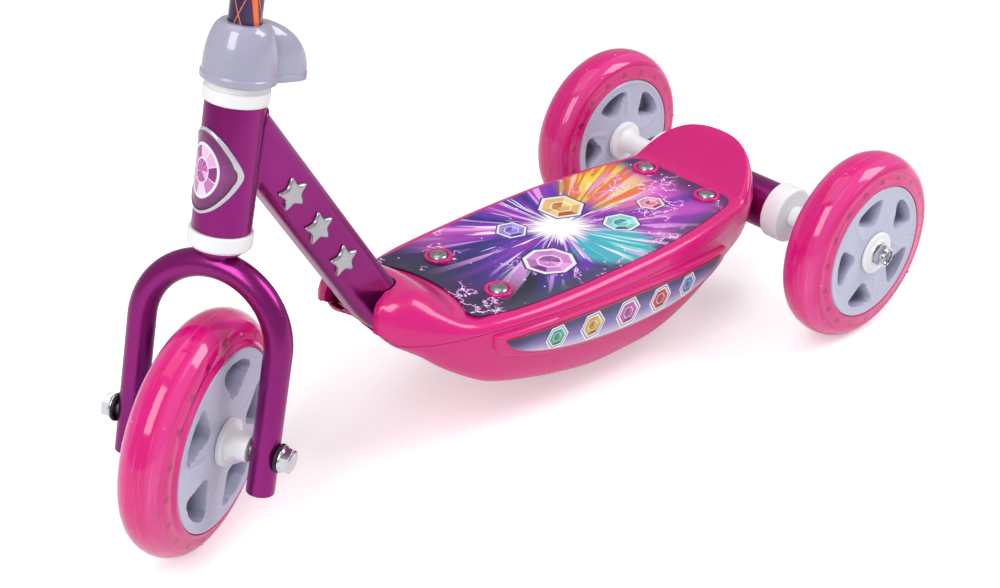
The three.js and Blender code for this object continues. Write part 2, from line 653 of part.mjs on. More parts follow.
function deckOutline() {
  const half = outlineShares.map(([along, across]) => new THREE.Vector3(
    noseX + deck.length * along, deck.halfWidth * across, 0));
  const mirrored = half.slice(1, -1).reverse().map((point) => new THREE.Vector3(point.x, -point.y, 0));
  const curve = new THREE.CatmullRomCurve3([...half, ...mirrored], true);
  const near = curve.getPoints(2 * deck.stations).slice(0, deck.stations + 1);
  near[0].y = 0;
  near[deck.stations].y = 0;
  const far = near.slice(1, -1).reverse().map((point) => new THREE.Vector3(point.x, -point.y, 0));
  return [...near, ...far];
}
const outline = deckOutline();
const inwards = outline.map((point, i) => {
  const count = outline.length;
  const along = outline[(i + 1) % count].clone().sub(outline[(i + count - 1) % count]);
  return new THREE.Vector3(-along.y, along.x, 0).normalize();
});

function halfWidthAt(x) {
  for (let i = 0; i < deck.stations; i += 1) {
    const [a, b] = [outline[i], outline[i + 1]];
    if (x <= a.x && x >= b.x) return THREE.MathUtils.lerp(a.y, b.y, (a.x - x) / (a.x - b.x));
  }
  return 0;
}

// Rise of the heel guard behind the sheet, highest at the rear centre
function heelRise(x, y) {
  const start = noseX + heel.start;
  if (x <= start) return 0;
  const end = noseX + deck.length - deck.rim;
  const side = Math.min(Math.abs(y) / heel.half, 1);
  const across = Math.sqrt(1 - side * side);
  const reach = start + (end - start) * Math.max(across, gap.seat);
  const along = Math.min((x - start) / (reach - start), 1);
  return heel.height * across ** heel.sideShare * along ** heel.riseShare;
}

// Height of the deck surface
function surfaceAt(x, y) {
  const width = Math.max(halfWidthAt(x), deck.rim);
  const dish = deck.dish * Math.min(Math.abs(y) / width, 1) ** 2;
  const bow = noseBow.reach * (Math.min(Math.abs(y), noseBow.half) / noseBow.half) ** 2;
  return deckBottom + topAt(x + bow - noseX) + dish + heelRise(x, y);
}

const partingHeight = (x) => deckBottom + partingAt(x - noseX);

function spineOf(point) {
  const half = deck.halfWidth;
  const x = THREE.MathUtils.clamp(point.x, noseX + half / 2, noseX + deck.length - half);
  return new THREE.Vector3(x, 0, 0);
}

function ringAt(insetOf, heightOf) {
  return outline.map((point, i) => {
    const place = point.clone().addScaledVector(inwards[i], insetOf(point));
    place.z = heightOf(place, point);
    return place;
  });
}

function spineRing(heightOf) {
  return outline.map((point) => {
    const place = spineOf(point);
    place.z = heightOf(place);
    return place;
  });
}

// Outer volume of the top shell, or with a wall its inner volume
function topVolume(wall, below) {
  const rings = [spineRing((place) => partingHeight(place.x) - below)];
  const rounding = (point) => roundAt(point.x - noseX);
  for (let k = 0; k <= roundSteps; k += 1) {
    const angle = Math.PI / 2 * k / roundSteps;
    const inset = (point) => wall + rounding(point) * (1 - Math.cos(angle));
    rings.push(ringAt(inset, (place, point) => {
      const base = partingHeight(point.x) - (k ? 0 : below);
      const crown = surfaceAt(place.x, place.y) - wall;
      return base + (crown - partingHeight(point.x)) * Math.sin(angle);
    }));
  }
  const edge = rings[rings.length - 1];
  for (const inwardShare of [0.14, 0.32, 0.62]) {
    rings.push(edge.map((place, i) => {
      const point = place.clone().lerp(spineOf(outline[i]), inwardShare);
      point.z = surfaceAt(point.x, point.y) - wall;
      return point;
    }));
  }
  rings.push(spineRing((place) => surfaceAt(place.x, 0) - wall));
  return ringSolid(rings);
}

const bottomHeight = (x) => deckBottom + Math.min(bottomAt(x - noseX), partingAt(x - noseX) - deck.wall);

// Outer volume of the belly shell, or with a wall its inner volume
function bellyVolume(wall, above) {
  const top = (x) => partingHeight(x) - gap.seat;
  const rings = [spineRing((place) => top(place.x) + above)];
  for (const [down, inset] of bellyShares) {
    rings.push(ringAt(() => wall + deck.bottomInset * inset, (place, point) => {
      const depth = top(point.x) - bottomHeight(point.x) - wall;
      return top(point.x) - Math.max(depth, gap.seat) * down + (down ? 0 : above);
    }));
  }
  rings.push(spineRing((place) => bottomHeight(place.x) + wall));
  return ringSolid(rings);
}

// Half width of the belly side at a height
function bellySideAt(x, z) {
  const top = partingHeight(x) - gap.seat;
  const share = THREE.MathUtils.clamp((top - z) / (top - bottomHeight(x)), 0, 1);
  let i = 0;
  while (i < bellyShares.length - 2 && share > bellyShares[i + 1][0]) i += 1;
  const [a, b] = [bellyShares[i], bellyShares[i + 1]];
  const inset = THREE.MathUtils.mapLinear(share, a[0], b[0], a[1], b[1]);
  return halfWidthAt(x) - deck.bottomInset * inset;
}

// Everything the down tube needs clear at the mouth: its own shape and the open front between the lobes
function mouthCutter() {
  const reach = mouth.from;
  const wedge = new THREE.Shape([
    new THREE.Vector2(noseX + reach, -mouth.half), new THREE.Vector2(noseX + reach, mouth.half),
    new THREE.Vector2(noseX - overrun, mouth.tipHalf), new THREE.Vector2(noseX - overrun, -mouth.tipHalf),
  ]);
  const opening = prismSolid(wedge, 2 * deck.depth);
  return opening.add(downTubeSolid(gap.shell));
}

function crossClear() {
  return moved(rod(crossTube.radius + gap.slide, -crossTube.half - overrun, crossTube.half + overrun),
    rearAxle.toArray(), [Math.PI / 2, 0, 0]);
}

const boltPlaces = [
  ['front_near', boss.front, -1], ['front_far', boss.front, 1],
  ['rear_near', boss.rear, -1], ['rear_far', boss.rear, 1],
].map(([name, along, side]) => {
  const x = noseX + along;
  const y = boss.half * side;
  return { name, x, y, seat: surfaceAt(x, y) + boss.rise / 2 };
});

const screwPlaces = bellyScrew.places.flatMap(([along, across], row) => [-1, 1].map((side) => ({
  name: `${row ? 'rear' : 'front'}_${side < 0 ? 'near' : 'far'}`,
  x: noseX + along,
  y: across * side,
  seat: partingHeight(noseX + along) - bellyScrew.seatBelow,
})));

function deckTopSolid() {
  let shell = topVolume(0, 0).subtract(topVolume(deck.wall, overrun));
  for (const bolt of boltPlaces) {
    const low = surfaceAt(bolt.x, bolt.y) - deck.wall;
    const ring = rod(boss.outer, low, surfaceAt(bolt.x, bolt.y) + boss.rise);
    const recess = rod(boss.inner, bolt.seat, bolt.seat + boss.rise + overrun);
    const hole = rod(deckBolt.shank + gap.seat, low - overrun, bolt.seat + overrun, facets.small);
    shell = shell.add(moved(ring, [bolt.x, bolt.y, 0]));
    shell = shell.subtract(moved(recess.add(hole), [bolt.x, bolt.y, 0]));
  }
  for (const screw of screwPlaces) {
    const bottom = screw.seat + bellyScrew.seat + gap.seat;
    const post = rod(bellyScrew.post, bottom, surfaceAt(screw.x, screw.y) - deck.wall / 2, facets.small);
    const pilot = rod(bellyScrew.shank + gap.seat, bottom - overrun, bottom + bellyScrew.grip, facets.small);
    shell = shell.add(moved(post, [screw.x, screw.y, 0])).subtract(moved(pilot, [screw.x, screw.y, 0]));
  }
  return largestPart(shell.subtract(mouthCutter()).subtract(crossClear()));
}

// Raised pad on the belly side that carries the label
function padSolid(side) {
  const rows = 20;
  const columns = 4;
  return plateSolid(rows, columns, (u, v, face) => {
    const turn = Math.PI * u;
    const length = label.end - label.start + 2 * pad.margin;
    const x = noseX + label.start - pad.margin + length * (1 - Math.cos(turn)) / 2;
    const arch = Math.sin(turn);
    const top = labelTop(x) + pad.topMargin;
    const z = top - (pad.ends + (pad.depth - pad.ends) * arch) * v;
    const out = face ? pad.proud : -deck.wall / 2;
    return [x, side * (bellySideAt(x, z) + out), z];
  });
}

function labelTop(x) {
  const share = (x - noseX - label.start) / (label.end - label.start);
  const fall = (label.topEnd - label.topStart) * share;
  return deckBottom + label.topStart + fall + label.arch * 4 * share * (1 - share);
}

function labelSolid(side) {
  return plateSolid(label.rows, label.columns, (u, v, face) => {
    const turn = Math.PI * u;
    const x = noseX + label.start + (label.end - label.start) * (1 - Math.cos(turn)) / 2;
    const arch = Math.sin(turn);
    const z = labelTop(x) - label.depth * arch * v;
    const out = pad.proud + gap.seat + label.thickness * face;
    return [x, side * (bellySideAt(x, z) + out), z];
  });
}

function deckBellySolid() {
  let shell = bellyVolume(0, 0).subtract(bellyVolume(deck.wall, overrun));
  for (const side of [-1, 1]) shell = shell.add(padSolid(side));
  for (const screw of screwPlaces) {
    const low = bottomHeight(screw.x) + deck.wall / 2;
    const top = screw.seat + bellyScrew.seat;
    const tower = rod(bellyScrew.tower, low, top, facets.small);
    const pocket = rod(bellyScrew.pocket, low - overrun - deck.wall, screw.seat, facets.small);
    const hole = rod(bellyScrew.hole, screw.seat - overrun, top + overrun, facets.small);
    shell = shell.add(moved(tower, [screw.x, screw.y, 0]));
    shell = shell.subtract(moved(pocket.add(hole), [screw.x, screw.y, 0]));
  }
  const front = noseX + deck.bellyFront;
  const side = deck.halfWidth;
  const ahead = boxSolid([front - side, -side, 0], [front, side, 2 * deck.depth]);
  return largestPart(shell.subtract(mouthCutter()).subtract(crossClear()).subtract(ahead));
}

// Outline of the printed sheet: bowed front edge, rounded corners, straight rear edge
function sheetShape() {
  const front = noseX + sheet.start;
  const rear = noseX + sheet.end;
  const sideAt = (x) => halfWidthAt(x) - sheet.inset;
  const shape = new THREE.Shape();
  const corner = front - sheet.bow;
  const side = sideAt(corner + sheet.frontCorner);
  shape.moveTo(front, 0);
  shape.quadraticCurveTo(front, side / 2, corner, side - sheet.frontCorner);
  shape.quadraticCurveTo(corner, side, corner + sheet.frontCorner, side);
  const steps = 12;
  const from = corner + sheet.frontCorner;
  const to = rear - sheet.corner;
  for (let i = 1; i <= steps; i += 1) {
    const x = from + (to - from) * i / steps;
    shape.lineTo(x, sideAt(x));
  }
  shape.quadraticCurveTo(rear, sideAt(rear), rear, sideAt(rear) - sheet.corner);
  shape.lineTo(rear, 0);
  const half = shape.getPoints(4);
  const mirrored = half.slice(1, -1).reverse().map((point) => new THREE.Vector2(point.x, -point.y));
  return new THREE.Shape([...half, ...mirrored]);
}

function sheetSolid() {
  const skin = topVolume(0, 0);
  const slab = moved(skin, [0, 0, gap.seat + sheet.thickness]).subtract(moved(skin, [0, 0, gap.seat]));
  const prism = prismSolid(sheetShape(), 2 * deck.depth);
  let plate = slab.intersect(moved(prism, [0, 0, deckBottom + deck.rim]));
  for (const bolt of boltPlaces) {
    plate = plate.subtract(moved(rod(boss.outer + gap.slide, 0, 2 * deck.depth), [bolt.x, bolt.y, 0]));
  }
  return largestPart(plate);
}

// Domed deck bolt: its head lies in the ring boss
function deckBoltSolid(seat) {
  const head = [[0, seat + gap.seat]];
  for (let i = 0; i <= roundSteps; i += 1) {
    const angle = Math.PI / 2 * i / roundSteps;
    head.push([deckBolt.head * Math.cos(angle), seat + gap.seat + deckBolt.dome * Math.sin(angle)]);
  }
  return turned(head).add(rod(deckBolt.shank, seat - deckBolt.below, seat + gap.slide, facets.small));
}

// Height of the top face of the down tube under the deck
function tubeTopAt(x) {
  const middle = rearAxle.z - downTube.rearDrop + (rearAxle.x - x) * Math.tan(tubeRun);
  return middle + downTube.halfTall / Math.cos(tubeRun);
}

function strapLevel(x) {
  return tubeTopAt(x - strap.halfWide) + gap.seat / 2;
}

function strapSolid(along) {
  const x = noseX + along;
  const low = strapLevel(x);
  const high = low + strap.thickness;
  let plate = boxSolid([x - strap.halfWide, -strap.half, low], [x + strap.halfWide, strap.half, high]);
  for (const side of [-1, 1]) {
    const hole = rod(deckBolt.shank + gap.seat, low - overrun, low + overrun, facets.small);
    plate = plate.subtract(moved(hole, [x, boss.half * side, 0]));
  }
  return plate;
}

function deckNutSolid(x) {
  const top = strapLevel(x) - gap.seat / 2;
  const low = top - deckBolt.nutHeight;
  return hexPrism(deckBolt.nut, low, top)
    .subtract(rod(deckBolt.shank + gap.seat, low - overrun, top + overrun, facets.small));
}

function bellyScrewSolid(screw) {
  const top = screw.seat - gap.seat / 2;
  const tip = screw.seat + bellyScrew.seat + bellyScrew.grip - gap.shell;
  return rod(bellyScrew.head, top - bellyScrew.headHeight, top, facets.small)
    .add(rod(bellyScrew.shank, top - gap.seat, tip, facets.small));
}

// Rounded star plate on the flat side of the down tube
function emblemSolid() {
  const corners = [];
  for (let i = 0; i < 2 * emblem.points; i += 1) {
    const radius = i % 2 ? emblem.waist : emblem.radius;
    const angle = Math.PI / 2 + Math.PI * i / emblem.points;
    corners.push(new THREE.Vector3(radius * Math.cos(angle), radius * Math.sin(angle), 0));
  }
  const loop = new THREE.CatmullRomCurve3(corners, true).getPoints(3 * corners.length).slice(0, -1);
  const shape = new THREE.Shape(loop.map((point) => new THREE.Vector2(point.x, point.y)));
  return toSolid(new THREE.ExtrudeGeometry(shape, { depth: emblem.thickness, bevelEnabled: false }));
}

// Cross tube and what is on the rear axle: local Z is the rear axle
function crossTubeSolid() {
  return sleeve(crossTube.radius - crossTube.wall, crossTube.radius, -crossTube.half, crossTube.half);
}

function endCapSolid() {
  const { capStart, capEnd, capRadius, capWall } = crossTube;
  const inside = crossTube.half + gap.seat;
  const inner = crossTube.radius + gap.seat;
  return turned([
    [axle.bore, inside], [inner, inside], [inner, capStart], [capRadius - gap.shell, capStart],
    [capRadius, capStart + gap.shell], [capRadius, capEnd - capWall],
    [crossTube.radius, capEnd], [axle.bore, capEnd], [axle.bore, inside],
  ]);
}

const rearWheelCentre = stance.rearTrack / 2;
const rearBushFace = rearWheel.discHalf + gap.seat + rearNut.flange + gap.seat;
const rearNutStart = rearWheelCentre + rearBushFace + gap.seat;
const rearAxleEnd = rearNutStart + rearNut.washerHeight + rearNut.height + rearNut.collarHeight;

function buildFrame(root) {
  addPiece(root, 'down_tube', trimmedDownTube(), 'purple');
  addPiece(root, 'deck_strap_front', strapSolid(boss.front), 'purple');
  addPiece(root, 'deck_strap_rear', strapSolid(boss.rear), 'purple');
  addPiece(root, 'deck_top_shell', deckTopSolid(), 'pink');
  addPiece(root, 'deck_belly_shell', deckBellySolid(), 'pink');
  addPiece(root, 'deck_sheet', sheetSolid(), 'print');
  addPiece(root, 'side_label_near', labelSolid(-1), 'print');
  addPiece(root, 'side_label_far', labelSolid(1), 'print');
  for (const bolt of boltPlaces) {
    addPiece(root, `deck_bolt_${bolt.name}`, moved(deckBoltSolid(bolt.seat), [bolt.x, bolt.y, 0]), 'chrome');
    addPiece(root, `deck_nut_${bolt.name}`, moved(deckNutSolid(bolt.x), [bolt.x, bolt.y, 0]), 'steel');
  }
  for (const screw of screwPlaces) {
    const solid = moved(bellyScrewSolid(screw), [screw.x, screw.y, 0]);
    addPiece(root, `belly_screw_${screw.name}`, solid, 'steel');
  }
}

function buildEmblems(root) {
  const flat = -downTube.halfWide - gap.seat;
  for (let i = 0; i < 3; i += 1) {
    const holder = new THREE.Group();
    const foot = onDownTube(frontAxle.z + headTube.top * Math.cos(rake));
    foot.addScaledVector(downDirection, emblem.first + emblem.spacing * i);
    foot.addScaledVector(downNormal, -emblem.drop);
    holder.position.set(foot.x, flat, foot.z);
    holder.rotation.set(Math.PI / 2, 0, 0);
    addPiece(holder, `tube_emblem_${i + 1}`, emblemSolid(), 'silver');
    root.add(holder);
  }
}

function buildHead(root) {
  const head = new THREE.Group();
  head.position.copy(frontAxle);
  head.rotation.y = rake;
  const tube = sleeve(headTube.radius - headTube.wall, headTube.radius, headTube.bottom, headTube.top);
  addPiece(head, 'head_tube', tube, 'purple');
  const lower = headTube.bottom - gap.seat - headBush.lower;
  const lowerBush = headBushSolid(headBush.lower, headBush.plug, false);
  const upperBush = headBushSolid(headBush.upper, headBush.plug, true);
  addPiece(head, 'head_bush_lower', moved(lowerBush, [0, 0, lower]), 'white');
  addPiece(head, 'head_bush_upper', moved(upperBush, [0, 0, headBushTop]), 'white');
  addPiece(head, 'head_badge', badgeSolid(), 'print');
  root.add(head);
}

function buildRearAxle(root) {
  const line = new THREE.Group();
  line.position.copy(rearAxle);
  line.rotation.x = Math.PI / 2;
  addPiece(line, 'rear_cross_tube', crossTubeSolid(), 'purple');
  addPiece(line, 'rear_axle', rod(axle.radius, -rearAxleEnd, rearAxleEnd), 'steel');
  root.add(line);
  for (const [side, turn] of [['near', 0], ['far', Math.PI]]) {
    const end = new THREE.Group();
    end.rotation.x = turn;
    line.add(end);
    addPiece(end, `cross_tube_cap_${side}`, endCapSolid(), 'white');
    addPiece(end, `rear_lock_nut_${side}`, lockNut(rearNut, rearNutStart), 'chrome');
    const wheel = new THREE.Group();
    wheel.position.z = rearWheelCentre;
    end.add(wheel);
    const neckEnd = rearWheelCentre - crossTube.capEnd - gap.seat;
    const inner = bushSolid(rearWheel, wheelBuild.flange, neckEnd);
    addWheel(wheel, `rear_wheel_${side}`, rearWheel, flushBushSolid(rearWheel), inner, 'inner_bush', 'outer_bush');
  }
}

function buildSteering(root) {
  const tilt = new THREE.Group();
  tilt.position.copy(frontAxle);
  tilt.rotation.y = rake;
  const turn = new THREE.Group();
  turn.rotation.z = steer;
  tilt.add(turn);
  root.add(tilt);
  addPiece(turn, 'fork', forkSolid(), 'purple');
  addPiece(turn, 'handle_column', columnSolid(), 'print');
  const ears = new THREE.Group();
  ears.rotation.z = -steer;
  turn.add(ears);
  addPiece(ears, 'clamp_collar', clampSolid(), 'steel');
  addPiece(ears, 'clamp_cap', capSolid(), 'lavender');
  const bolt = new THREE.Group();
  bolt.position.set(clamp.boltReach, 0, clampBottom + clamp.height / 2);
  bolt.rotation.x = Math.PI / 2;
  addPiece(bolt, 'clamp_bolt', clampBoltSolid(), 'steel');
  addPiece(bolt, 'clamp_nut', clampNutSolid(), 'steel');
  ears.add(bolt);
  const bar = new THREE.Group();
  bar.position.z = column.top;
  bar.rotation.x = Math.PI / 2;
  addPiece(bar, 'handlebar', handlebarSolid(), 'purple');
  addPiece(bar, 'grip_near', gripSolid(), 'tyre');
  addPiece(bar, 'grip_far', moved(gripSolid(), [0, 0, 0], [Math.PI, 0, 0]), 'tyre');
  turn.add(bar);
  buildFrontAxle(turn);
}

function buildFrontAxle(turn) {
  const line = new THREE.Group();
  line.rotation.x = Math.PI / 2;
  turn.add(line);
  const legFace = fork.legOffset + fork.tubeRadius;
  const washerStart = legFace + gap.seat;
  const nutStart = washerStart + domeNut.washerHeight + gap.seat;
  const end = nutStart + domeNut.base + axle.end - gap.seat;
  addPiece(line, 'front_axle', rod(axle.radius, -end, end), 'steel');
  for (const [side, flip] of [['near', 0], ['far', Math.PI]]) {
    const washer = sleeve(axle.bore, domeNut.washer, washerStart, washerStart + domeNut.washerHeight);
    addPiece(line, `fork_washer_${side}`, moved(washer, [0, 0, 0], [flip, 0, 0]), 'black');
    addPiece(line, `dome_nut_${side}`, moved(domeNutSolid(nutStart), [0, 0, 0], [flip, 0, 0]), 'chrome');
  }
  const neckEnd = fork.legOffset - fork.tubeRadius - gap.slide;
  const bush = bushSolid(frontWheel, wheelBuild.flange, neckEnd);
  addWheel(line, 'front_wheel', frontWheel, bush, bush, 'bush_far', 'bush_near');
}

// The origin is under the middle of the whole scooter, on the ground
function buildScooter() {
  const root = new THREE.Group();
  buildFrame(root);
  buildEmblems(root);
  buildHead(root);
  buildRearAxle(root);
  buildSteering(root);
  root.updateMatrixWorld(true);
  const box = new THREE.Box3().setFromObject(root, true);
  const middle = box.getCenter(new THREE.Vector3());
  root.position.set(-middle.x, -middle.y, -box.min.z);
  return root;
}

export default buildScooter();
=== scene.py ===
import json
import math

import bmesh
import bpy
from mathutils import Matrix, Vector


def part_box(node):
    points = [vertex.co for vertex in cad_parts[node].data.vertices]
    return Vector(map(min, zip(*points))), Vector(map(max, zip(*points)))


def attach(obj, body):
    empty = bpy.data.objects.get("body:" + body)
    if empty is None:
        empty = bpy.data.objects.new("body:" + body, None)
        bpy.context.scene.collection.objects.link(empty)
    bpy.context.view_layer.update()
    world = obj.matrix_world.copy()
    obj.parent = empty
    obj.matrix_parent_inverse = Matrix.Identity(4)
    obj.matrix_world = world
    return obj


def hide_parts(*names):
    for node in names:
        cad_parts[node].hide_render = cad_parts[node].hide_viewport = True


# Three wheel kids scooter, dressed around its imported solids
# Lengths are in millimetres here and become metres when a mesh is made

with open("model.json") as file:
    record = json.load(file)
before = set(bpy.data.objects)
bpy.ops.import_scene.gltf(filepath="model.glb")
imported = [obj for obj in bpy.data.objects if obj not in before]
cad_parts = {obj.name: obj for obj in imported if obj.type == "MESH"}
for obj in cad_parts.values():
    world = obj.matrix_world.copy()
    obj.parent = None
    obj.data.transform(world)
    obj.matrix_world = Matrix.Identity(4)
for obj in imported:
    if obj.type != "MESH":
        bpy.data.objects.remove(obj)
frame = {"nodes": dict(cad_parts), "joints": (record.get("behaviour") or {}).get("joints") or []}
for startupObject in ("Cube", "Light", "Camera"):
    if startupObject in bpy.data.objects:
        bpy.data.objects.remove(bpy.data.objects[startupObject])
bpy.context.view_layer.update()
mm = 0.001
fullTurn, quarter = 2 * math.pi, math.pi / 2
weldDistance = 2e-6
joints = {joint["name"]: joint for joint in frame["joints"]}
print("frame loaded:", len(frame["nodes"]), "nodes")


# Places that the joints give
def placeFrom(foot, forward, side, up):
    matrix = Matrix((forward, side, up)).transposed().to_4x4()
    matrix.translation = foot
    return matrix


ahead, across, above = Vector((1, 0, 0)), Vector((0, 1, 0)), Vector((0, 0, 1))
steeringFoot, nearFoot, farFoot = (Vector(joints[name]["pos_m"]) / mm for name in (
    "steering_turn", "near_rear_wheel_spin", "far_rear_wheel_spin"))
steeringUp, axleAlong = (Vector(joints[name]["axis"]).normalized() for name in (
    "steering_turn", "front_wheel_spin"))
steeringPlace = placeFrom(steeringFoot, axleAlong.cross(steeringUp), axleAlong, steeringUp)
headPlace = placeFrom(steeringFoot, across.cross(steeringUp), across, steeringUp)
rearFoot = (nearFoot + farFoot) / 2
rearPlace = placeFrom(rearFoot, ahead, above, -across)
wheelPlaces = {
    "front_wheel": placeFrom(steeringFoot, axleAlong.cross(steeringUp), steeringUp, -axleAlong),
    "near_rear_wheel": placeFrom(nearFoot, ahead, above, -across),
    "far_rear_wheel": placeFrom(farFoot, ahead, -above, across),
}
upright, flipped = Matrix.Identity(4), Matrix.Rotation(math.pi, 4, "X")
bothSides = (("near", upright), ("far", flipped))


# Making meshes
def placed(name, data):
    made = bpy.data.objects.new(name, data)
    bpy.context.scene.collection.objects.link(made)
    return made


def cleaned(mesh):
    clean = bmesh.new()
    clean.from_mesh(mesh)
    bmesh.ops.remove_doubles(clean, verts=clean.verts, dist=weldDistance)
    bmesh.ops.recalc_face_normals(clean, faces=clean.faces)
    clean.to_mesh(mesh)
    clean.free()
    return mesh


# One piece of the look, with its finish
def addPiece(name, mesh, material, body, stands=(), sharp=35):
    cleaned(mesh).name = name
    mesh.shade_smooth()
    mesh.set_sharp_from_angle(angle=math.radians(sharp))
    mesh.materials.clear()
    mesh.materials.append(material)
    piece = placed(name, mesh)
    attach(piece, body)
    if stands:
        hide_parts(*stands)
    return piece


def meshOf(points, faces, cornerUvs=None):
    mesh = bpy.data.meshes.new("mesh")
    mesh.from_pydata([tuple(point * mm) for point in points], [], faces)
    if cornerUvs:
        layer = mesh.uv_layers.new(name="surface")
        layer.data.foreach_set("uv", [value for face in cornerUvs for corner in face for value in corner])
    return mesh


def storeValues(mesh, name, values):
    mesh.attributes.new(name, "FLOAT", "POINT").data.foreach_set("value", values)


def turnsOf(count, start=0.0):
    return [start + fullTurn * j / count for j in range(count)]


def spun(radius, turn, height=0.0):
    return Vector((radius * math.cos(turn), radius * math.sin(turn), height))


def eased(value):
    share = min(max(value, 0), 1)
    return share * share * (3 - 2 * share)


# Outline of corners (x, y) or (x, y, fillet), with each fillet drawn as a curve
def filleted(corners, steps=5):
    outline = []
    for i, corner in enumerate(corners):
        here = Vector(corner[:2])
        if len(corner) < 3 or i in (0, len(corners) - 1):
            outline.append(here)
            continue
        before, after = (Vector(corners[i + step][:2]) - here for step in (-1, 1))
        reach = min(corner[2], before.length / 2, after.length / 2)
        start, end = here + before.normalized() * reach, here + after.normalized() * reach
        for k in range(steps + 1):
            t = k / steps
            outline.append(start.lerp(here, t).lerp(here.lerp(end, t), t))
    return outline


def closed(corners):
    return corners + [corners[0][:2]]


# Section of a round sleeve, with a fillet at each end
def sleeve(inner, outer, low, high, lowFillet, highFillet):
    return closed([(inner, low), (outer, low, lowFillet), (outer, high, highFillet), (inner, high)])


# Skin through rings of equal count; open ends get a flat cap
# Where levels are given, the map holds the share of a turn and the ring's level
def ringMesh(rings, capped=True, levels=None):
    count, last = len(rings[0]), len(rings) - 1
    faces, corners = [], []
    for i in range(last):
        for j in range(count):
            k = (j + 1) % count
            faces.append((i * count + j, i * count + k, (i + 1) * count + k, (i + 1) * count + j))
            if levels:
                left, right, low, high = j / count, (j + 1) / count, levels[i], levels[i + 1]
                corners.append(((left, low), (right, low), (right, high), (left, high)))
    if capped:
        faces += [tuple(range(count)), tuple(range(last * count, (last + 1) * count))]
    return meshOf([point for ring in rings for point in ring], faces, corners)


# Surface of revolution about the place's Z
def latheMesh(outline, place, around=96, mapFrom=0.0):
    spots = [Vector(spot) for spot in outline]
    levels = [-mapFrom]
    for a, b in zip(spots, spots[1:]):
        levels.append(levels[-1] + (b - a).length)
    rings = [[place @ spun(spot.x, turn, spot.y) for turn in turnsOf(around)] for spot in spots]
    return ringMesh(rings, False, levels)


def addLathe(name, corners, place, material, body, stands=(), around=96):
    return addPiece(name, latheMesh(filleted(corners), place, around), material, body, stands)


def rodMesh(radius, low, high, place, around=96):
    return latheMesh([(0, low), (radius, low), (radius, high), (0, high)], place, around)


# Round wire along a closed path
def wireMesh(path, radius, around=12):
    rings, side = [], None
    for i, point in enumerate(path):
        along = (path[(i + 1) % len(path)] - path[i - 1]).normalized()
        side = (side - along * side.dot(along) if side else along.orthogonal()).normalized()
        up = along.cross(side)
        rings.append([point + side * (radius * math.cos(turn)) + up * (radius * math.sin(turn))
                      for turn in turnsOf(around)])
    return ringMesh(rings + [rings[0]], capped=False)


# Closed smooth loop through corners, evenly stepped from corner to corner
def smoothLoop(corners, count):
    loop = []
    for k in range(count):
        i, t = divmod(len(corners) * k / count, 1)
        a, b, c, d = (corners[(int(i) + step) % len(corners)] for step in (-1, 0, 1, 2))
        first, middle, last = (max((q - p).length ** 0.5, 1e-3) for p, q in ((a, b), (b, c), (c, d)))
        leaving = ((b - a) / first - (c - a) / (first + middle) + (c - b) / middle) * middle
        arriving = ((c - b) / middle - (d - b) / (middle + last) + (d - c) / last) * middle
        square, cube = t * t, t * t * t
        loop.append(b + leaving * t + (-3 * b + 3 * c - 2 * leaving - arriving) * square
                    + (2 * b - 2 * c + leaving + arriving) * cube)
    return loop


def joinPieces(pieces):
    bpy.context.view_layer.update()
    with bpy.context.temp_override(active_object=pieces[0], selected_editable_objects=pieces, selected_objects=pieces):
        bpy.ops.object.join()


def bakedMesh(tool):
    graph = bpy.context.evaluated_depsgraph_get()
    graph.update()
    return bpy.data.meshes.new_from_object(tool.evaluated_get(graph), preserve_all_data_layers=True, depsgraph=graph)


def mergedMesh(meshes):
    whole = bmesh.new()
    for mesh in meshes:
        whole.from_mesh(mesh)
    merged = bpy.data.meshes.new("merged")
    whole.to_mesh(merged)
    whole.free()
    return merged


def carved(mesh, *steps):
    tool = placed("carved", cleaned(mesh))
    helpers = []
    for operation, other in steps:
        helpers.append(placed("helper", cleaned(other.copy())))
        change = tool.modifiers.new(operation, "BOOLEAN")
        change.operation, change.solver, change.object = operation, "MANIFOLD", helpers[-1]
    result = bakedMesh(tool)
    for spare in [tool, *helpers]:
        bpy.data.objects.remove(spare)
    return result


# Node trees: a value may be a plain value, a socket, a node or a signal
def treeNode(tree, kind, links=None, **settings):
    made = tree.nodes.new(kind)
    for key, value in settings.items():
        setattr(made, key, value)
    for key, value in (links or {}).items():
        value = getattr(value, "socket", value)
        value = value.outputs[0] if isinstance(value, bpy.types.Node) else value
        if isinstance(value, bpy.types.NodeSocket):
            tree.links.new(value, made.inputs[key])
        else:
            made.inputs[key].default_value = value
    return made


def startTree(name, **inputs):
    tree = bpy.data.node_groups.new(name, "GeometryNodeTree")
    for direction in ("INPUT", "OUTPUT"):
        tree.interface.new_socket(name="Geometry", in_out=direction, socket_type="NodeSocketGeometry")
    for label, value in {**inputs, "material": "Material"}.items():
        kind = value if isinstance(value, str) else {int: "Int", float: "Float"}[type(value)]
        socket = tree.interface.new_socket(
            name=label.capitalize(), in_out="INPUT", socket_type="NodeSocket" + kind)
        if kind != value:
            socket.default_value = value

    def grow(kind, links, **settings):
        return treeNode(tree, "GeometryNode" + kind, links, **settings)

    return tree, tree.nodes.new("NodeGroupInput").outputs, grow


def closeTree(tree, given, grow, geometry):
    real = grow("RealizeInstances", {"Geometry": geometry})
    painted = grow("SetMaterial", {"Geometry": real, "Material": given["Material"]})
    tree.links.new(painted.outputs[0], tree.nodes.new("NodeGroupOutput").inputs[0])
    return tree


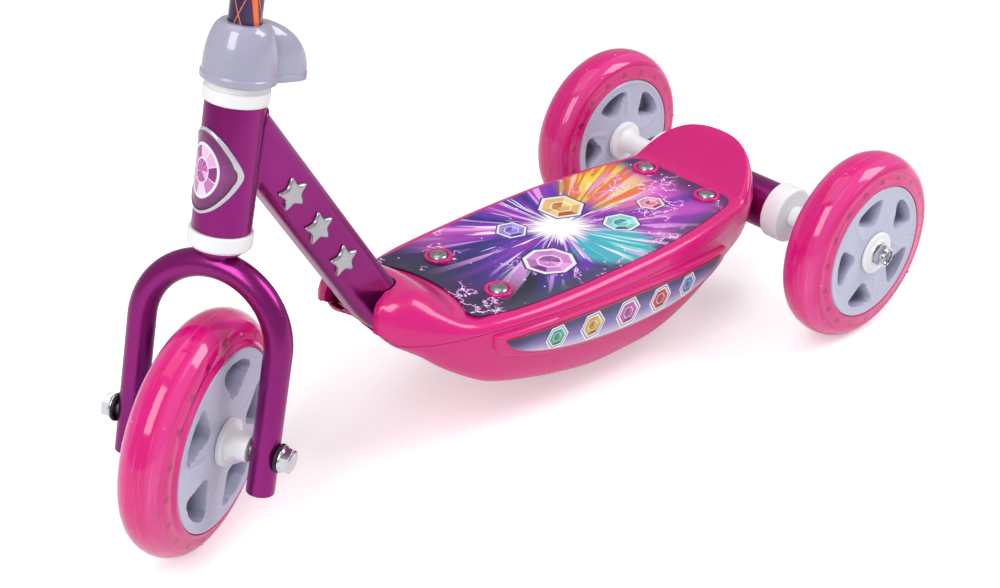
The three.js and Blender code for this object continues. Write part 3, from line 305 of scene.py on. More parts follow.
def grownMesh(carrier, tree, **values):
    grower = carrier.modifiers.new(tree.name, "NODES")
    grower.node_group = tree
    for item in tree.interface.items_tree:
        if item.in_out == "INPUT" and item.name.lower() in values:
            grower[item.identifier] = values[item.name.lower()]
    mesh = bakedMesh(carrier)
    carrier.modifiers.remove(grower)
    bpy.data.objects.remove(carrier)
    return mesh


def pathCarrier(points):
    curve = bpy.data.curves.new("path", "CURVE")
    curve.dimensions = "3D"
    spline = curve.splines.new("POLY")
    spline.points.add(len(points) - 1)
    for spot, point in zip(spline.points, points):
        spot.co = (*(point * mm), 1)
    return placed("path", curve)


# Round bar along a path
def makeBarTree():
    tree, given, grow = startTree("roundBar", radius=0.01, facets=48)
    ring = grow("CurvePrimitiveCircle", {"Radius": given["Radius"], "Resolution": given["Facets"]})
    bar = grow("CurveToMesh", {"Curve": given["Geometry"], "Profile Curve": ring, "Fill Caps": True})
    return closeTree(tree, given, grow, bar)


# One shape set on every point of the carrier
def makeFastenerTree():
    tree, given, grow = startTree("fasteners", shape="Object", turn="Rotation", size=1.0)
    shape = grow("ObjectInfo", {"Object": given["Shape"]})
    spots = grow("InstanceOnPoints", {
        "Points": given["Geometry"], "Instance": shape.outputs["Geometry"], "Rotation": given["Turn"],
        "Scale": given["Size"]})
    return closeTree(tree, given, grow, spots)


# Small round bubbles scattered over a skin
def makeBubbleTree():
    tree, given, grow = startTree("castBubbles", density=300.0, smallest=0.3, largest=1.0, seed=7)
    spots = grow("DistributePointsOnFaces", {
        "Mesh": given["Geometry"], "Density": given["Density"], "Seed": given["Seed"]})
    ball = grow("MeshIcoSphere", {"Radius": mm, "Subdivisions": 2})
    size = treeNode(tree, "FunctionNodeRandomValue", {
        2: given["Smallest"], 3: given["Largest"], "Seed": given["Seed"]}, data_type="FLOAT")
    bubbles = grow("InstanceOnPoints", {"Points": spots, "Instance": ball, "Scale": size.outputs[1]})
    return closeTree(tree, given, grow, bubbles)


# Raised rings at an even pitch along the carrier's line
def makeRibTree():
    tree, given, grow = startTree("gripRibs", pitch=0.01, radius=0.013, wire=0.001)
    spots = grow("CurveToPoints", {"Curve": given["Geometry"], "Length": given["Pitch"]}, mode="LENGTH")
    hoop = grow("CurvePrimitiveCircle", {"Radius": given["Radius"], "Resolution": 64})
    wire = grow("CurvePrimitiveCircle", {"Radius": given["Wire"], "Resolution": 10})
    rib = grow("CurveToMesh", {"Curve": hoop, "Profile Curve": wire})
    ribs = grow("InstanceOnPoints", {"Points": spots, "Instance": rib, "Rotation": spots.outputs["Rotation"]})
    return closeTree(tree, given, grow, ribs)


barTree, fastenerTree, bubbleTree, ribTree = makeBarTree(), makeFastenerTree(), makeBubbleTree(), makeRibTree()
print("node trees built")


# Painting
def colour(hexCode):
    channels = [int(hexCode[i:i + 2], 16) / 255 for i in (0, 2, 4)]
    linear = [c / 12.92 if c <= 0.04045 else ((c + 0.055) / 1.055) ** 2.4 for c in channels]
    return (*linear, 1.0)


# A node's output that takes part in sums; each sum adds a math node
class Signal:
    def __init__(self, finish, socket):
        self.finish, self.socket = finish, socket

    def __add__(self, other):
        return self.finish.math("ADD", self, other)

    def __sub__(self, other):
        return self.finish.math("SUBTRACT", self, other)

    def __rsub__(self, other):
        return self.finish.math("SUBTRACT", other, self)

    def __mul__(self, other):
        return self.finish.math("MULTIPLY", self, other)

    def __truediv__(self, other):
        return self.finish.math("DIVIDE", self, other)

    def __abs__(self):
        return self.finish.math("ABSOLUTE", self)


class Finish:
    def __init__(self, name, slotName, base, roughness, metallic=0.0, coat=0.0, coatRoughness=0.05):
        self.material = bpy.data.materials.new(name)
        self.material.use_nodes = True
        self.tree = self.material.node_tree
        self.shader = self.tree.nodes["Principled BSDF"]
        self.give({"Base Color": colour(base), "Roughness": roughness, "Metallic": metallic,
                   "Coat Weight": coat, "Coat Roughness": coatRoughness})
        self.space = self.signal("TexCoord", output="Object")

    def give(self, values):
        for socket, value in values.items():
            self.shader.inputs[socket].default_value = value

    def scatter(self, weight, scale, radius):
        self.give({"Subsurface Weight": weight, "Subsurface Scale": scale, "Subsurface Radius": radius})

    def signal(self, kind, links=None, output=0, **settings):
        return Signal(self, treeNode(self.tree, "ShaderNode" + kind, links, **settings).outputs[output])

    def math(self, operation, a, b=0.0):
        return self.signal("Math", {0: a, 1: b}, operation=operation)

    def reach(self, dx, dy):
        return self.math("SQRT", dx * dx + dy * dy)

    # Distance from the middle of the cell that a repeating value is in
    def offMiddle(self, value):
        return abs(self.math("FRACT", value) - 0.5)

    def split(self, vector):
        return [Signal(self, socket) for socket in treeNode(self.tree, "ShaderNodeSeparateXYZ", {0: vector}).outputs]

    def smooth(self, value, low, high, start=0.0, end=1.0):
        spread = {"Value": value, "From Min": low, "From Max": high, "To Min": start, "To Max": end}
        return self.signal("MapRange", spread, interpolation_type="SMOOTHSTEP")

    def mix(self, factor, a, b):
        a, b = (colour(shade) if isinstance(shade, str) else shade for shade in (a, b))
        return self.signal("Mix", {0: factor, 6: a, 7: b}, output=2, data_type="RGBA")

    def noise(self, scale, detail=2.0, roughness=0.5, space=None):
        return self.signal("TexNoise", {
            "Vector": space or self.space, "Scale": scale, "Detail": detail, "Roughness": roughness})

    def cells(self, output, scale, randomness=1.0):
        return self.signal("TexVoronoi", {"Vector": self.space, "Scale": scale, "Randomness": randomness}, output)

    def shade(self, number):
        return self.signal("TexWhiteNoise", {"W": number}, "Value", noise_dimensions="1D")

    def ramp(self, value, stops):
        made = treeNode(self.tree, "ShaderNodeValToRGB", {"Fac": value})
        elements = made.color_ramp.elements
        while len(elements) < len(stops):
            elements.new(0.5)
        for element, (place, code) in zip(elements, stops):
            element.position, element.color = place, colour(code)
        return Signal(self, made.outputs[0])

    def surfaceMap(self):
        return self.signal("UVMap", uv_map="surface")

    def stored(self, name):
        return self.signal("Attribute", output="Fac", attribute_name=name)

    def stretched(self, space, scale):
        return self.signal("Mapping", {"Vector": space, "Scale": scale})

    def bump(self, height, strength, distance):
        self.paint(self.signal("Bump", {"Height": height, "Strength": strength, "Distance": distance}), "Normal")

    def paint(self, value, socket="Base Color"):
        self.tree.links.new(value.socket, self.shader.inputs[socket])

    def gloss(self, grain, low, high, least, most):
        self.paint(self.smooth(grain, low, high, least, most), "Roughness")


# Moulded plastic: a faint drift of tone, slightly uneven gloss and a fine skin
def plasticFinish(name, slotName, base, deeper, roughness, coat=0.0, coatRoughness=0.05, peel=0.03):
    finish = Finish(name, slotName, base, roughness, 0.0, coat, coatRoughness)
    finish.tone = finish.mix(finish.smooth(finish.noise(11), 0.2, 0.8), base, deeper)
    finish.paint(finish.tone)
    finish.gloss(finish.noise(35), 0.2, 0.8, roughness * 0.9, roughness * 1.12)
    finish.bump(finish.noise(240, 1), peel, 0.0001)
    return finish


# Powder-coated tube: its tinted gloss carries faint flakes
def flakeFinish(name, slotName, base, bright, dark):
    finish = Finish(name, slotName, base, 0.27, metallic=0.74, coat=0.08, coatRoughness=0.08)
    flake = finish.signal("SeparateColor", {0: finish.cells("Color", 2600.0)})
    drift = finish.mix(finish.smooth(finish.noise(8), 0.2, 0.8), base, dark)
    finish.paint(finish.mix(finish.smooth(flake, 0.7, 1.0) * 0.12, drift, bright))
    finish.gloss(finish.noise(30), 0.2, 0.8, 0.24, 0.3)
    finish.bump(finish.noise(300), 0.02, 0.0003)
    return finish.material


# Turned or pressed metal with brushing along one direction
def metalFinish(name, slotName, base, dark, roughness, stretch, grainScale=500.0, worn=0.08):
    finish = Finish(name, slotName, base, roughness, metallic=1.0)
    grain = finish.noise(grainScale, 3, 0.5, finish.stretched(finish.space, stretch))
    finish.paint(finish.mix(finish.smooth(grain, 0.3, 0.75), base, dark))
    finish.gloss(grain, 0.25, 0.75, roughness * 0.8, roughness * 1.25)
    finish.bump(grain, worn, 0.0002)
    return finish.material


# Cast tyre: clear pink with darker moulded blocks in a ring inside the sidewall
def tyreFinish(name, marks, inner, outer):
    finish = Finish(name, "tyre_pink", "DC1E80", 0.1, coat=0.6, coatRoughness=0.04)
    finish.give({"Coat IOR": 1.42, "Specular IOR Level": 0.3})
    turn, along = finish.split(finish.surfaceMap())[:2]
    reach = abs(along)
    width = finish.smooth(reach, inner, outer) * 0.07 + 0.09
    sides = finish.smooth(width - finish.offMiddle(turn * marks), -0.012, 0.03)
    ends = finish.smooth(reach, inner - 0.4, inner + 0.5) * finish.smooth(reach, outer - 0.3, outer + 0.5, 1, 0)
    body = finish.mix(finish.smooth(finish.noise(22, 3), 0.35, 0.7), "DC177D", "D41276")
    band = finish.smooth(reach, 4, 9) * finish.smooth(reach, 11, 18, 1, 0)
    body = finish.mix(band * 0.4, body, "E957A3")
    drawn = finish.noise(2.2, 2, 0.5, finish.stretched(finish.surfaceMap(), (5, 0.2, 1)))
    body = finish.mix(finish.smooth(drawn, 0.54, 0.74, 0, 0.3), body, "EE79B6")
    body = finish.mix(finish.smooth(abs(reach - (inner - 3.2)), 0.25, 0.8, 0.25, 0), body, "B3156A")
    finish.paint(finish.mix(sides * ends * 0.85, body, "A8085C"))
    finish.gloss(finish.noise(40, 3), 0.3, 0.75, 0.07, 0.17)
    finish.bump(finish.noise(130), 0.1, 0.0006)
    finish.scatter(0.12, 0.008, (1.0, 0.3, 0.55))
    return finish.material


# Wheel discs: painted shade darkens the pocket floors below the face
def rimFinish():
    finish = plasticFinish("wheelDiscPlastic", "lavender_plastic", "BFC1D9", "B9BAD2", 0.3, coat=0.2)
    # Painted shade in the pockets, deeper towards their floors
    depth = finish.smooth(finish.stored("pocketDepth"), 0.25, 0.95, 0, 0.8)
    finish.paint(finish.mix(depth, finish.tone, "7E7B89"))
    return finish.material


def deckFinish():
    finish = plasticFinish("deckPinkPlastic", "deck_pink", "D8187C", "D21478", 0.3, coat=0.55, coatRoughness=0.1)
    finish.give({"Specular IOR Level": 0.25})
    return finish.material


def gripFinish():
    finish = plasticFinish("gripPinkRubber", "grip_rubber", "D2217A", "C61C72", 0.5, peel=0.15)
    finish.scatter(0.15, 0.004, (1.0, 0.35, 0.5))
    return finish.material


deckPink, rimPlastic, gripPink = deckFinish(), rimFinish(), gripFinish()
purplePaint = flakeFinish("purplePowderCoat", "frame_purple", "941B7A", "C23BA6", "84166C")
lavenderPlastic = plasticFinish("lavenderPlastic", "lavender_plastic", "A8A6BD", "A3A1B8", 0.2, coat=0.7).material
whitePlastic = plasticFinish("whitePlastic", "white_plastic", "F2F2F4", "EDEDF0", 0.34).material
blackRubber = plasticFinish("blackRubber", "black_plastic", "121214", "1A1A1D", 0.5, peel=0.1).material
chromeMetal = metalFinish("polishedNut", "chrome", "D6D6DA", "C2C2C8", 0.12, (1, 1, 1), 120.0, 0.03)
domeMetal = metalFinish("brushedDome", "chrome", "BDBDC1", "96969C", 0.26, (0.25, 2.5, 1))
zincMetal = metalFinish("zincSteel", "steel", "A5A6AA", "8B8C91", 0.38, (1, 0.3, 1))
emblemMetal = metalFinish("emblemSilver", "emblem_silver", "B4B4B7", "A6A6AA", 0.3, (1, 1, 1), 20.0, 0.0)
frontTyreFinish = tyreFinish("frontTyrePink", 20, 17.0, 20.5)
rearTyreFinish = tyreFinish("rearTyrePink", 18, 20.0, 23.5)
bubbleFinish = plasticFinish("tyreBubbles", "tyre_pink", "EC5FA9", "E04C9A", 0.05, coat=0.8).material
print("plain finishes made")


# Wheels: local Z runs outwards along the axle
tyreLow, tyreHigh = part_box("rear_wheel_near_tyre")
rearWheel = {
    "radius": (tyreHigh.z - tyreLow.z) / mm / 2, "disc": 44.5, "discHalf": 16.1, "tyreHalf": 14.5, "sidewall": 52.8,
    "flange": 14.0, "neck": 7.2, "pocketDepth": 11.0, "pocketTurn": 36.0,
}
frontWheel = {
    "radius": 69.85, "disc": 52.4, "discHalf": 17.0, "tyreHalf": 14.5, "sidewall": 56.8,
    "flange": 13.5, "neck": 7.8, "pocketDepth": 11.5, "pocketTurn": 12.0,
}
wheelShape = {
    "bore": 7.6, "barrelStep": 4.4, "pocketWall": 1.5, "pockets": 5, "draft": 1.5, "edge": 1.2, "flangeRise": 3.0,
    "columns": 72, "rows": 64, "ridgeRise": 0.55, "ridgeHalf": 3.4, "lipRise": 0.35, "pocketShadeFrom": 1.2, "pocketShadeInset": 1.5,
}
bubble = {"density": 1300.0, "smallest": 0.35, "largest": 1.05, "skin": 0.35, "reach": 3.0}
axle = {"radius": 4.0, "bore": 4.3}
gap = 0.3
pocketPitch = fullTurn / wheelShape["pockets"]
# Corners of one pocket: share of the way from flange to barrel, and share of the pocket's pitch
pocketShares = [
    (0.34, -0.15), (0.62, -0.26), (0.93, -0.29), (0.99, -0.05), (0.96, 0.22), (0.84, 0.28), (0.52, 0.16), (0.33, 0.02)]


# Distance from a flat outline, positive inside
def depthInside(spot, outline):
    nearest, inside = 1e9, False
    for i, b in enumerate(outline):
        a = outline[i - 1]
        edge = b - a
        share = min(max((spot - a).dot(edge) / edge.length_squared, 0), 1)
        nearest = min(nearest, (spot - a - edge * share).length)
        if (a.y > spot.y) != (b.y > spot.y) and spot.x < (b.x - a.x) * (spot.y - a.y) / (b.y - a.y) + a.x:
            inside = not inside
    return nearest if inside else -nearest


# Swirl ridges between the pockets and the lip round the disc
def reliefAt(wheel, radius, turn):
    out = (radius - wheel["flange"]) / (wheel["disc"] - wheel["flange"])
    swirl = pocketPitch * (0.42 - 0.16 * out)
    off = min(abs(turn + step * pocketPitch - swirl) for step in (-1, 0, 1)) * radius
    ridge = eased(1 - off / wheelShape["ridgeHalf"]) * eased((out - 0.12) / 0.15) * eased((0.86 - out) / 0.15)
    return wheelShape["ridgeRise"] * ridge + wheelShape["lipRise"] * eased((out - 0.88) / 0.06)


# Height of the disc face over one pocket pitch, as rows of columns
def discFace(wheel):
    columns, rows, bore = wheelShape["columns"], wheelShape["rows"], wheelShape["bore"]
    span = wheel["disc"] - wheelShape["barrelStep"] - wheelShape["pocketWall"] - wheel["flange"]
    outline = smoothLoop([spun(wheel["flange"] + span * out, pocketPitch * turn) for out, turn in pocketShares], 48)
    face = []
    for i in range(rows + 1):
        radius = bore + (wheel["disc"] - wheelShape["edge"] - bore) * i / rows
        line = []
        for j in range(columns):
            turn = pocketPitch * (j / columns - 0.5)
            steep = depthInside(spun(radius, turn), outline) / wheelShape["draft"]
            height = wheel["discHalf"] - wheel["pocketDepth"] * eased(steep)
            line.append(height + reliefAt(wheel, radius, turn) * eased(-steep) - wheelShape["ridgeRise"])
        face.append((radius, line))
    return face


def rimMesh(wheel, place):
    columns, edge = wheelShape["columns"], wheelShape["edge"]
    turns = turnsOf(wheelShape["pockets"] * columns, math.radians(wheel["pocketTurn"]) - pocketPitch / 2)
    upper = [[spun(radius, turn, line[j % columns]) for j, turn in enumerate(turns)]
             for radius, line in discFace(wheel)]
    flat = wheel["discHalf"] - wheelShape["ridgeRise"] + wheelShape["lipRise"]
    for k in range(1, 6):
        roll = quarter * k / 5
        radius, height = wheel["disc"] - edge + edge * math.sin(roll), flat - edge + edge * math.cos(roll)
        upper.append([spun(radius, turn, height) for turn in turns])
    lower = [[Vector((x, y, -z)) for x, y, z in ring] for ring in reversed(upper)]
    loop = upper + lower + [upper[0]]
    mesh = ringMesh([[place @ point for point in ring] for ring in loop], capped=False)
    # Share of each pocket's depth, kept for the finish to paint shade in the pockets
    sunk, shadedWithin = wheel["pocketDepth"] - wheelShape["ridgeRise"], wheel["disc"] - wheelShape["pocketShadeInset"]
    depths = [(wheel["discHalf"] - abs(point.z) - wheelShape["pocketShadeFrom"]) / sunk if point.xy.length < shadedWithin else 0
              for ring in loop for point in ring]
    storeValues(mesh, "pocketDepth", [min(max(depth, 0), 1) for depth in depths])
    return mesh


# Half section from the rim seat over a gently sloped shoulder to the crown, then mirrored
def tyreOutline(wheel):
    seat, shoulder = wheel["disc"] + gap, wheel["discHalf"] - 0.5
    slope, drop = wheel["sidewall"] - seat - 0.4, wheel["tyreHalf"] - shoulder
    half = [(seat, shoulder - 1.5), (seat, shoulder - 0.4), (seat + 0.12, shoulder - 0.1)]
    half += [(seat + 0.4 + slope * k / 12, shoulder + drop * eased(k / 12)) for k in range(13)]
    for turn in (quarter * k / 28 for k in range(1, 29)):
        out = wheel["sidewall"] + (wheel["radius"] - wheel["sidewall"]) * math.sin(turn)
        half.append((out, wheel["tyreHalf"] * math.cos(turn)))
    return [Vector(spot) for spot in half + [(x, -z) for x, z in reversed(half[:-1])] + half[:1]]


def bushOutline(wheel, rise, end):
    face, top = wheel["discHalf"] - gap, wheel["discHalf"] + gap + rise
    return filleted(closed([
        (axle["bore"], face), (wheel["flange"], face, 0.4),
        (wheel["flange"], top, 1.1), (wheel["neck"] + 2.4, top, 0.4),
        (wheel["neck"], top + 1.8, 1.4), (wheel["neck"], end, 0.5), (axle["bore"], end)]))


def addWheel(body, prefix, wheel, tyreMaterial, bushes, seed):
    place = wheelPlaces[body]
    addPiece(prefix + "_rim_disc", rimMesh(wheel, place), rimPlastic, body, [prefix + "_rim"], sharp=50)
    outline = tyreOutline(wheel)
    outside = sum((b - a).length for a, b in zip(outline, outline[1:-1]))
    tyre = latheMesh(outline, place, 180, outside / 2)
    addPiece(prefix + "_tyre_ring", tyre, tyreMaterial, body, [prefix + "_tyre"])
    band = [(spot.x - bubble["skin"], spot.y) for spot in outline[:-1] if spot.x > wheel["sidewall"] - bubble["reach"]]
    bubbles = grownMesh(
        placed("tyreSkin", cleaned(latheMesh(band, place, 64))), bubbleTree, density=bubble["density"],
        smallest=bubble["smallest"], largest=bubble["largest"], seed=seed, material=bubbleFinish)
    addPiece(prefix + "_tyre_bubbles", bubbles, bubbleFinish, body)
    for name, rise, end, turn in bushes:
        hub = latheMesh(bushOutline(wheel, rise, end), place @ turn, 72)
        addPiece(name + "_hub", hub, whitePlastic, body, [name])


forkShape = {
    "legOffset": 40.0, "tubeRadius": 7.8, "archTop": 98.5, "legEnd": 23.0, "crownRadius": 12.6, "crownTop": 109.2,
    "steererRadius": 11.0, "steererTop": 220.0, "inside": 8.8,
}
crossTube = {"radius": 16.5, "inner": 14.5, "half": 58.0, "capStart": 47.0, "capRadius": 19.0, "capEnd": 60.4}
rearNut = {
    "halfAcross": 6.5, "height": 5.0, "washer": 8.2, "washerHeight": 1.0, "collar": 5.4, "collarHeight": 1.5,
    "flange": 1.4, "rodRecess": 1.6, "chuckDepth": 0.8,
}
trackHalf = abs(nearFoot.y)
frontNeckEnd = forkShape["legOffset"] - forkShape["tubeRadius"] - 2 * gap
rearNeckEnd = trackHalf - crossTube["capEnd"] - gap
rearFlangeEnd = rearWheel["discHalf"] + rearNut["flange"] + 2 * gap
addWheel("front_wheel", "front_wheel", frontWheel, frontTyreFinish, [
    ("front_wheel_bush_" + side, wheelShape["flangeRise"], frontNeckEnd, turn) for side, turn in bothSides], 3)
for side, seed in (("near", 11), ("far", 23)):
    prefix = "rear_wheel_" + side
    addWheel(side + "_rear_wheel", prefix, rearWheel, rearTyreFinish, [
        (prefix + "_outer_bush", rearNut["flange"], rearFlangeEnd, upright),
        (prefix + "_inner_bush", wheelShape["flangeRise"], rearNeckEnd, flipped)], seed)
print("wheels made")


# Hexagon nut; its corners are cut back by a cone
hexEdge = {"slope": math.tan(math.radians(30)), "flatShare": 0.96, "lead": 0.7, "sixth": math.pi / 3}


def hexNutMesh(halfAcross, height, hole, place, base=0.0):
    turns, sixth = turnsOf(96), hexEdge["sixth"]

    def ring(radius, level):
        return [spun(radius, turn, base + level) for turn in turns]

    corners = []
    for level, way in ((0, 1), (height, -1)):
        reaches = [halfAcross / math.cos((turn + sixth / 2) % sixth - sixth / 2) for turn in turns]
        corners.append([spun(reach, turn, base + level + way * (reach - halfAcross) * hexEdge["slope"])
                        for reach, turn in zip(reaches, turns)])
    flat, lead = halfAcross * hexEdge["flatShare"], hexEdge["lead"]
    top = [ring(flat, height), ring(hole + lead, height), ring(hole, height - lead)]
    rings = [ring(hole, 0), ring(flat, 0), *corners, *top]
    return ringMesh([[place @ point for point in ring] for ring in rings + rings[:1]], capped=False)


# Copies of one shape, set on spots of the frame
def addFasteners(name, shapeMesh, spots, material, stands, turn=(0, 0, 0), sharp=35):
    shape = placed("shape", cleaned(shapeMesh))
    mesh = grownMesh(
        placed("spots", meshOf(spots, [])), fastenerTree, shape=shape, turn=turn, size=1.0, material=material)
    bpy.data.objects.remove(shape)
    return addPiece(name, mesh, material, "frame", stands, sharp)


def addRearNut(side, place):
    name, bore = "rear_nut_" + side, axle["bore"]
    joinPieces([
        addLathe(name, sleeve(bore, rearNut["washer"], nutStart, hexStart, 0.2, 0.4), place, chromeMetal, "frame",
                 ["rear_lock_nut_" + side]),
        addLathe(name + "_collar", closed([
            (bore + 0.5, hexEnd - 1), (rearNut["collar"], hexEnd - 1), (rearNut["collar"], rearAxleEnd, 0.8),
            (bore + 0.5, rearAxleEnd, 0.3)]), place, chromeMetal, "frame"),
        addPiece(name + "_hex", hexNutMesh(rearNut["halfAcross"], rearNut["height"], bore, place, hexStart),
                 chromeMetal, "frame")])


def addCrossCap(side, place):
    bore, seat, inner, outer = axle["bore"], crossTube["half"] + gap, crossTube["radius"] + gap, crossTube["capRadius"]
    start, end = crossTube["capStart"], crossTube["capEnd"]
    edges = closed([(bore, seat), (inner, seat), (inner, start), (outer, start, 0.9), (outer, end, 2.6), (bore, end)])
    addLathe("cross_cap_" + side, edges, place, whitePlastic, "frame", ["cross_tube_cap_" + side])


nutStart = trackHalf + rearFlangeEnd + gap
hexStart = nutStart + rearNut["washerHeight"]
hexEnd = hexStart + rearNut["height"]
rearAxleEnd = hexEnd + rearNut["collarHeight"]
for side, turn in bothSides:
    addRearNut(side, rearPlace @ turn)
rodEnd = rearAxleEnd - rearNut["rodRecess"]
chuck = rodEnd - rearNut["chuckDepth"]
rodHalf = [(axle["radius"], rodEnd, 0.6), (1.5, rodEnd), (0.7, chuck), (0, chuck)]
rodCorners = [(x, -z, *fillet) for x, z, *fillet in reversed(rodHalf)] + rodHalf
addLathe("rear_axle_rod", rodCorners, rearPlace, zincMetal, "frame", ["rear_axle"], 48)
tubeEdges = sleeve(crossTube["inner"], crossTube["radius"], -crossTube["half"], crossTube["half"], 0.5, 0.5)
addLathe("cross_tube_skin", tubeEdges, rearPlace, purplePaint, "frame", ["rear_cross_tube"])
for side, turn in bothSides:
    addCrossCap(side, rearPlace @ turn)
print("rear axle made")


# Fork: one tube bent over the wheel, a crown stub and the steerer
def forkPath():
    side, foot, centre = forkShape["legOffset"], -forkShape["legEnd"], forkShape["archTop"] - forkShape["legOffset"]
    leg = [Vector((0, -side, height)) for height in (foot, foot / 2, 0)]
    turns = [math.pi * k / 56 for k in range(57)]
    arch = [Vector((0, -side * math.cos(turn), centre + side * math.sin(turn))) for turn in turns]
    return [steeringPlace @ point for point in leg + arch + [Vector((0, side, point.z)) for point in reversed(leg)]]


def addFork():
    radius, top, crownTop = forkShape["crownRadius"], forkShape["archTop"], forkShape["crownTop"]
    inside, steerer, steererTop = forkShape["inside"], forkShape["steererRadius"], forkShape["steererTop"]
    arch = grownMesh(
        pathCarrier(forkPath()), barTree, radius=forkShape["tubeRadius"] * mm, facets=64, material=purplePaint)
    crown = [
        (0, top - 2), (5.5, top - 2), (6.2, top + 3, 1), (9, top + 6.2, 2), (radius - 0.8, top + 8.4, 1),
        (radius, crownTop - 2, 0.5), (radius, crownTop, 0.6), (steerer, crownTop), (steerer, steererTop, 0.5),
        (inside, steererTop), (inside, crownTop), (0, crownTop)]
    joinPieces([addPiece("fork_frame", arch, purplePaint, "steering", ["fork"]),
                addLathe("fork_crown", crown, steeringPlace, purplePaint, "steering")])


# Front axle: a black washer and a chrome capped nut outside each leg
domeNut = {
    "halfAcross": 6.6, "base": 3.2, "shoulder": 2.4, "dome": 3.6, "washer": 8.2, "washerHeight": 1.6, "flange": 7.6,
    "tip": 5.0, "hole": 1.0,
}
washerStart = forkShape["legOffset"] + forkShape["tubeRadius"] + gap


def addForkEnd(side, place):
    name, washerEnd = "dome_nut_body_" + side, washerStart + domeNut["washerHeight"]
    ring = sleeve(axle["bore"], domeNut["washer"], washerStart, washerEnd, 0.5, 0.6)
    addLathe("fork_washer_ring_" + side, ring, place, blackRubber, "steering", ["fork_washer_" + side])
    low, width, flange = washerEnd + gap, domeNut["halfAcross"], domeNut["flange"]
    top = low + domeNut["base"]
    dome = [
        (0, low), (flange, low, 0.3), (flange, low + 1.2, 0.5), (width, low + 1.8, 0.5),
        (width, top + domeNut["shoulder"], 0.7), (domeNut["tip"], top + domeNut["dome"], 0.5),
        (0, top + domeNut["dome"])]
    hexBody = hexNutMesh(width, domeNut["base"] + 2.0, domeNut["hole"], place, low + 0.6)
    joinPieces([addLathe(name, dome, place, chromeMetal, "steering", ["dome_nut_" + side]),
                addPiece(name + "_hex", hexBody, chromeMetal, "steering")])


addFork()
for side, turn in bothSides:
    addForkEnd(side, wheelPlaces["front_wheel"] @ turn)
frontRod = rodMesh(axle["radius"], -washerStart, washerStart, wheelPlaces["front_wheel"], 48)
addPiece("front_axle_rod", frontRod, zincMetal, "steering", ["front_axle"])
print("fork made")


# Head tube, its two white rings and the oval badge
headTube = {"radius": 15.7, "inner": 13.7, "bottom": 119.4, "top": 187.8}
headRing = {"radius": 17.1, "lower": 9.4, "upper": 10.5, "step": 16.8}


def addHead():
    low, high = headTube["bottom"], headTube["top"]
    clear, radius, step = forkShape["steererRadius"] + gap, headRing["radius"], headRing["radius"] - 1.1
    start, end, seat = low - gap - headRing["lower"], low - gap, high + gap
    skin = sleeve(headTube["inner"], headTube["radius"], low, high, 0.4, 0.4)
    lower = closed([
        (clear, start), (radius - 1.6, start, 0.5), (radius, start + 1.6, 0.7), (radius, end, 0.9), (clear, end)])
    upper = closed([
        (clear, seat), (headRing["step"] - 0.2, seat, 0.4), (radius, high + 1.6, 0.6), (radius, ringTop - 3.4, 0.8),
        (step, ringTop - 2.9, 0.5), (step, ringTop, 0.8), (clear, ringTop)])
    addLathe("head_tube_skin", skin, headPlace, purplePaint, "frame", ["head_tube"])
    addLathe("head_ring_lower", lower, headPlace, whitePlastic, "frame", ["head_bush_lower"])
    addLathe("head_ring_upper", upper, headPlace, whitePlastic, "frame", ["head_bush_upper"])


badge = {
    "centre": 152.5, "halfHeight": 22.6, "halfWidth": 15.9, "thickness": 0.9, "rim": 0.35, "border": 1.5,
    "gem": 0.58, "facets": 9.0,
}


# Badge print: a cut gem in magenta inside a white ring, on a dotted plum ground with a silver border and a painted
# shadow just inside it
def badgeFinish():
    finish = Finish("badgePrint", "print", "8C2673", 0.22, coat=0.6)
    turn, out = finish.split(finish.surfaceMap())[:2]
    fromRim, gem, border = finish.stored("fromRim"), badge["gem"], badge["border"]
    table = finish.math("LESS_THAN", out, gem * 0.5)
    wedge = turn * badge["facets"] + table * 0.5
    gems = finish.ramp(finish.shade(finish.math("FLOOR", wedge) + table * 20.0), [
        (0.0, "8A1F78"), (0.35, "B53FA4"), (0.7, "D98ACB"), (1.0, "F6E4F3")])
    ridge = finish.math("MAXIMUM", finish.smooth(finish.offMiddle(wedge), 0.44, 0.48),
                        finish.smooth(abs(out - gem * 0.5), 0.015, 0.03, 1, 0))
    plum = finish.mix(finish.smooth(fromRim, 2, 11), "6A1A5A", "93308A")
    ground = finish.mix(finish.smooth(finish.cells("Distance", 650.0, 0.0), 0.25, 0.4, 0.45, 0), plum, "53124A")
    pattern = finish.mix(finish.smooth(out, gem, gem + 0.02), finish.mix(ridge * 0.7, gems, "FBEFFA"), ground)
    ring = finish.smooth(out, gem - 0.01, gem + 0.01) * finish.smooth(out, gem + 0.06, gem + 0.08, 1, 0)
    pattern = finish.mix(ring, pattern, "ECE8F2")
    # Painted shadow: a dark band just inside the raised silver border
    pattern = finish.mix(finish.smooth(fromRim, border + 0.1, border + 0.9, 0.55, 0), pattern, "2C0A26")
    silver = finish.smooth(fromRim, border - 0.15, border + 0.1, 1, 0)
    finish.paint(finish.mix(silver, pattern, "C9C8D2"))
    finish.paint(silver * 0.3, "Metallic")
    finish.bump(ridge * 0.6 + silver, 0.3, 0.0004)
    return finish.material


# Distance to the badge rim, measured round the tube
def distanceToRim(y, height, radius):
    half, tall = badge["halfWidth"], badge["halfHeight"]
    wide = half * math.sqrt(max(1 - (height / tall) ** 2, 0))
    high = tall * math.sqrt(max(1 - (y / half) ** 2, 0))
    aside = max(radius * (math.asin(min(wide / radius, 1)) - math.asin(min(abs(y) / radius, 1))), 0)
    above = max(high - abs(height), 0)
    return aside * above / max(math.hypot(aside, above), 1e-6)


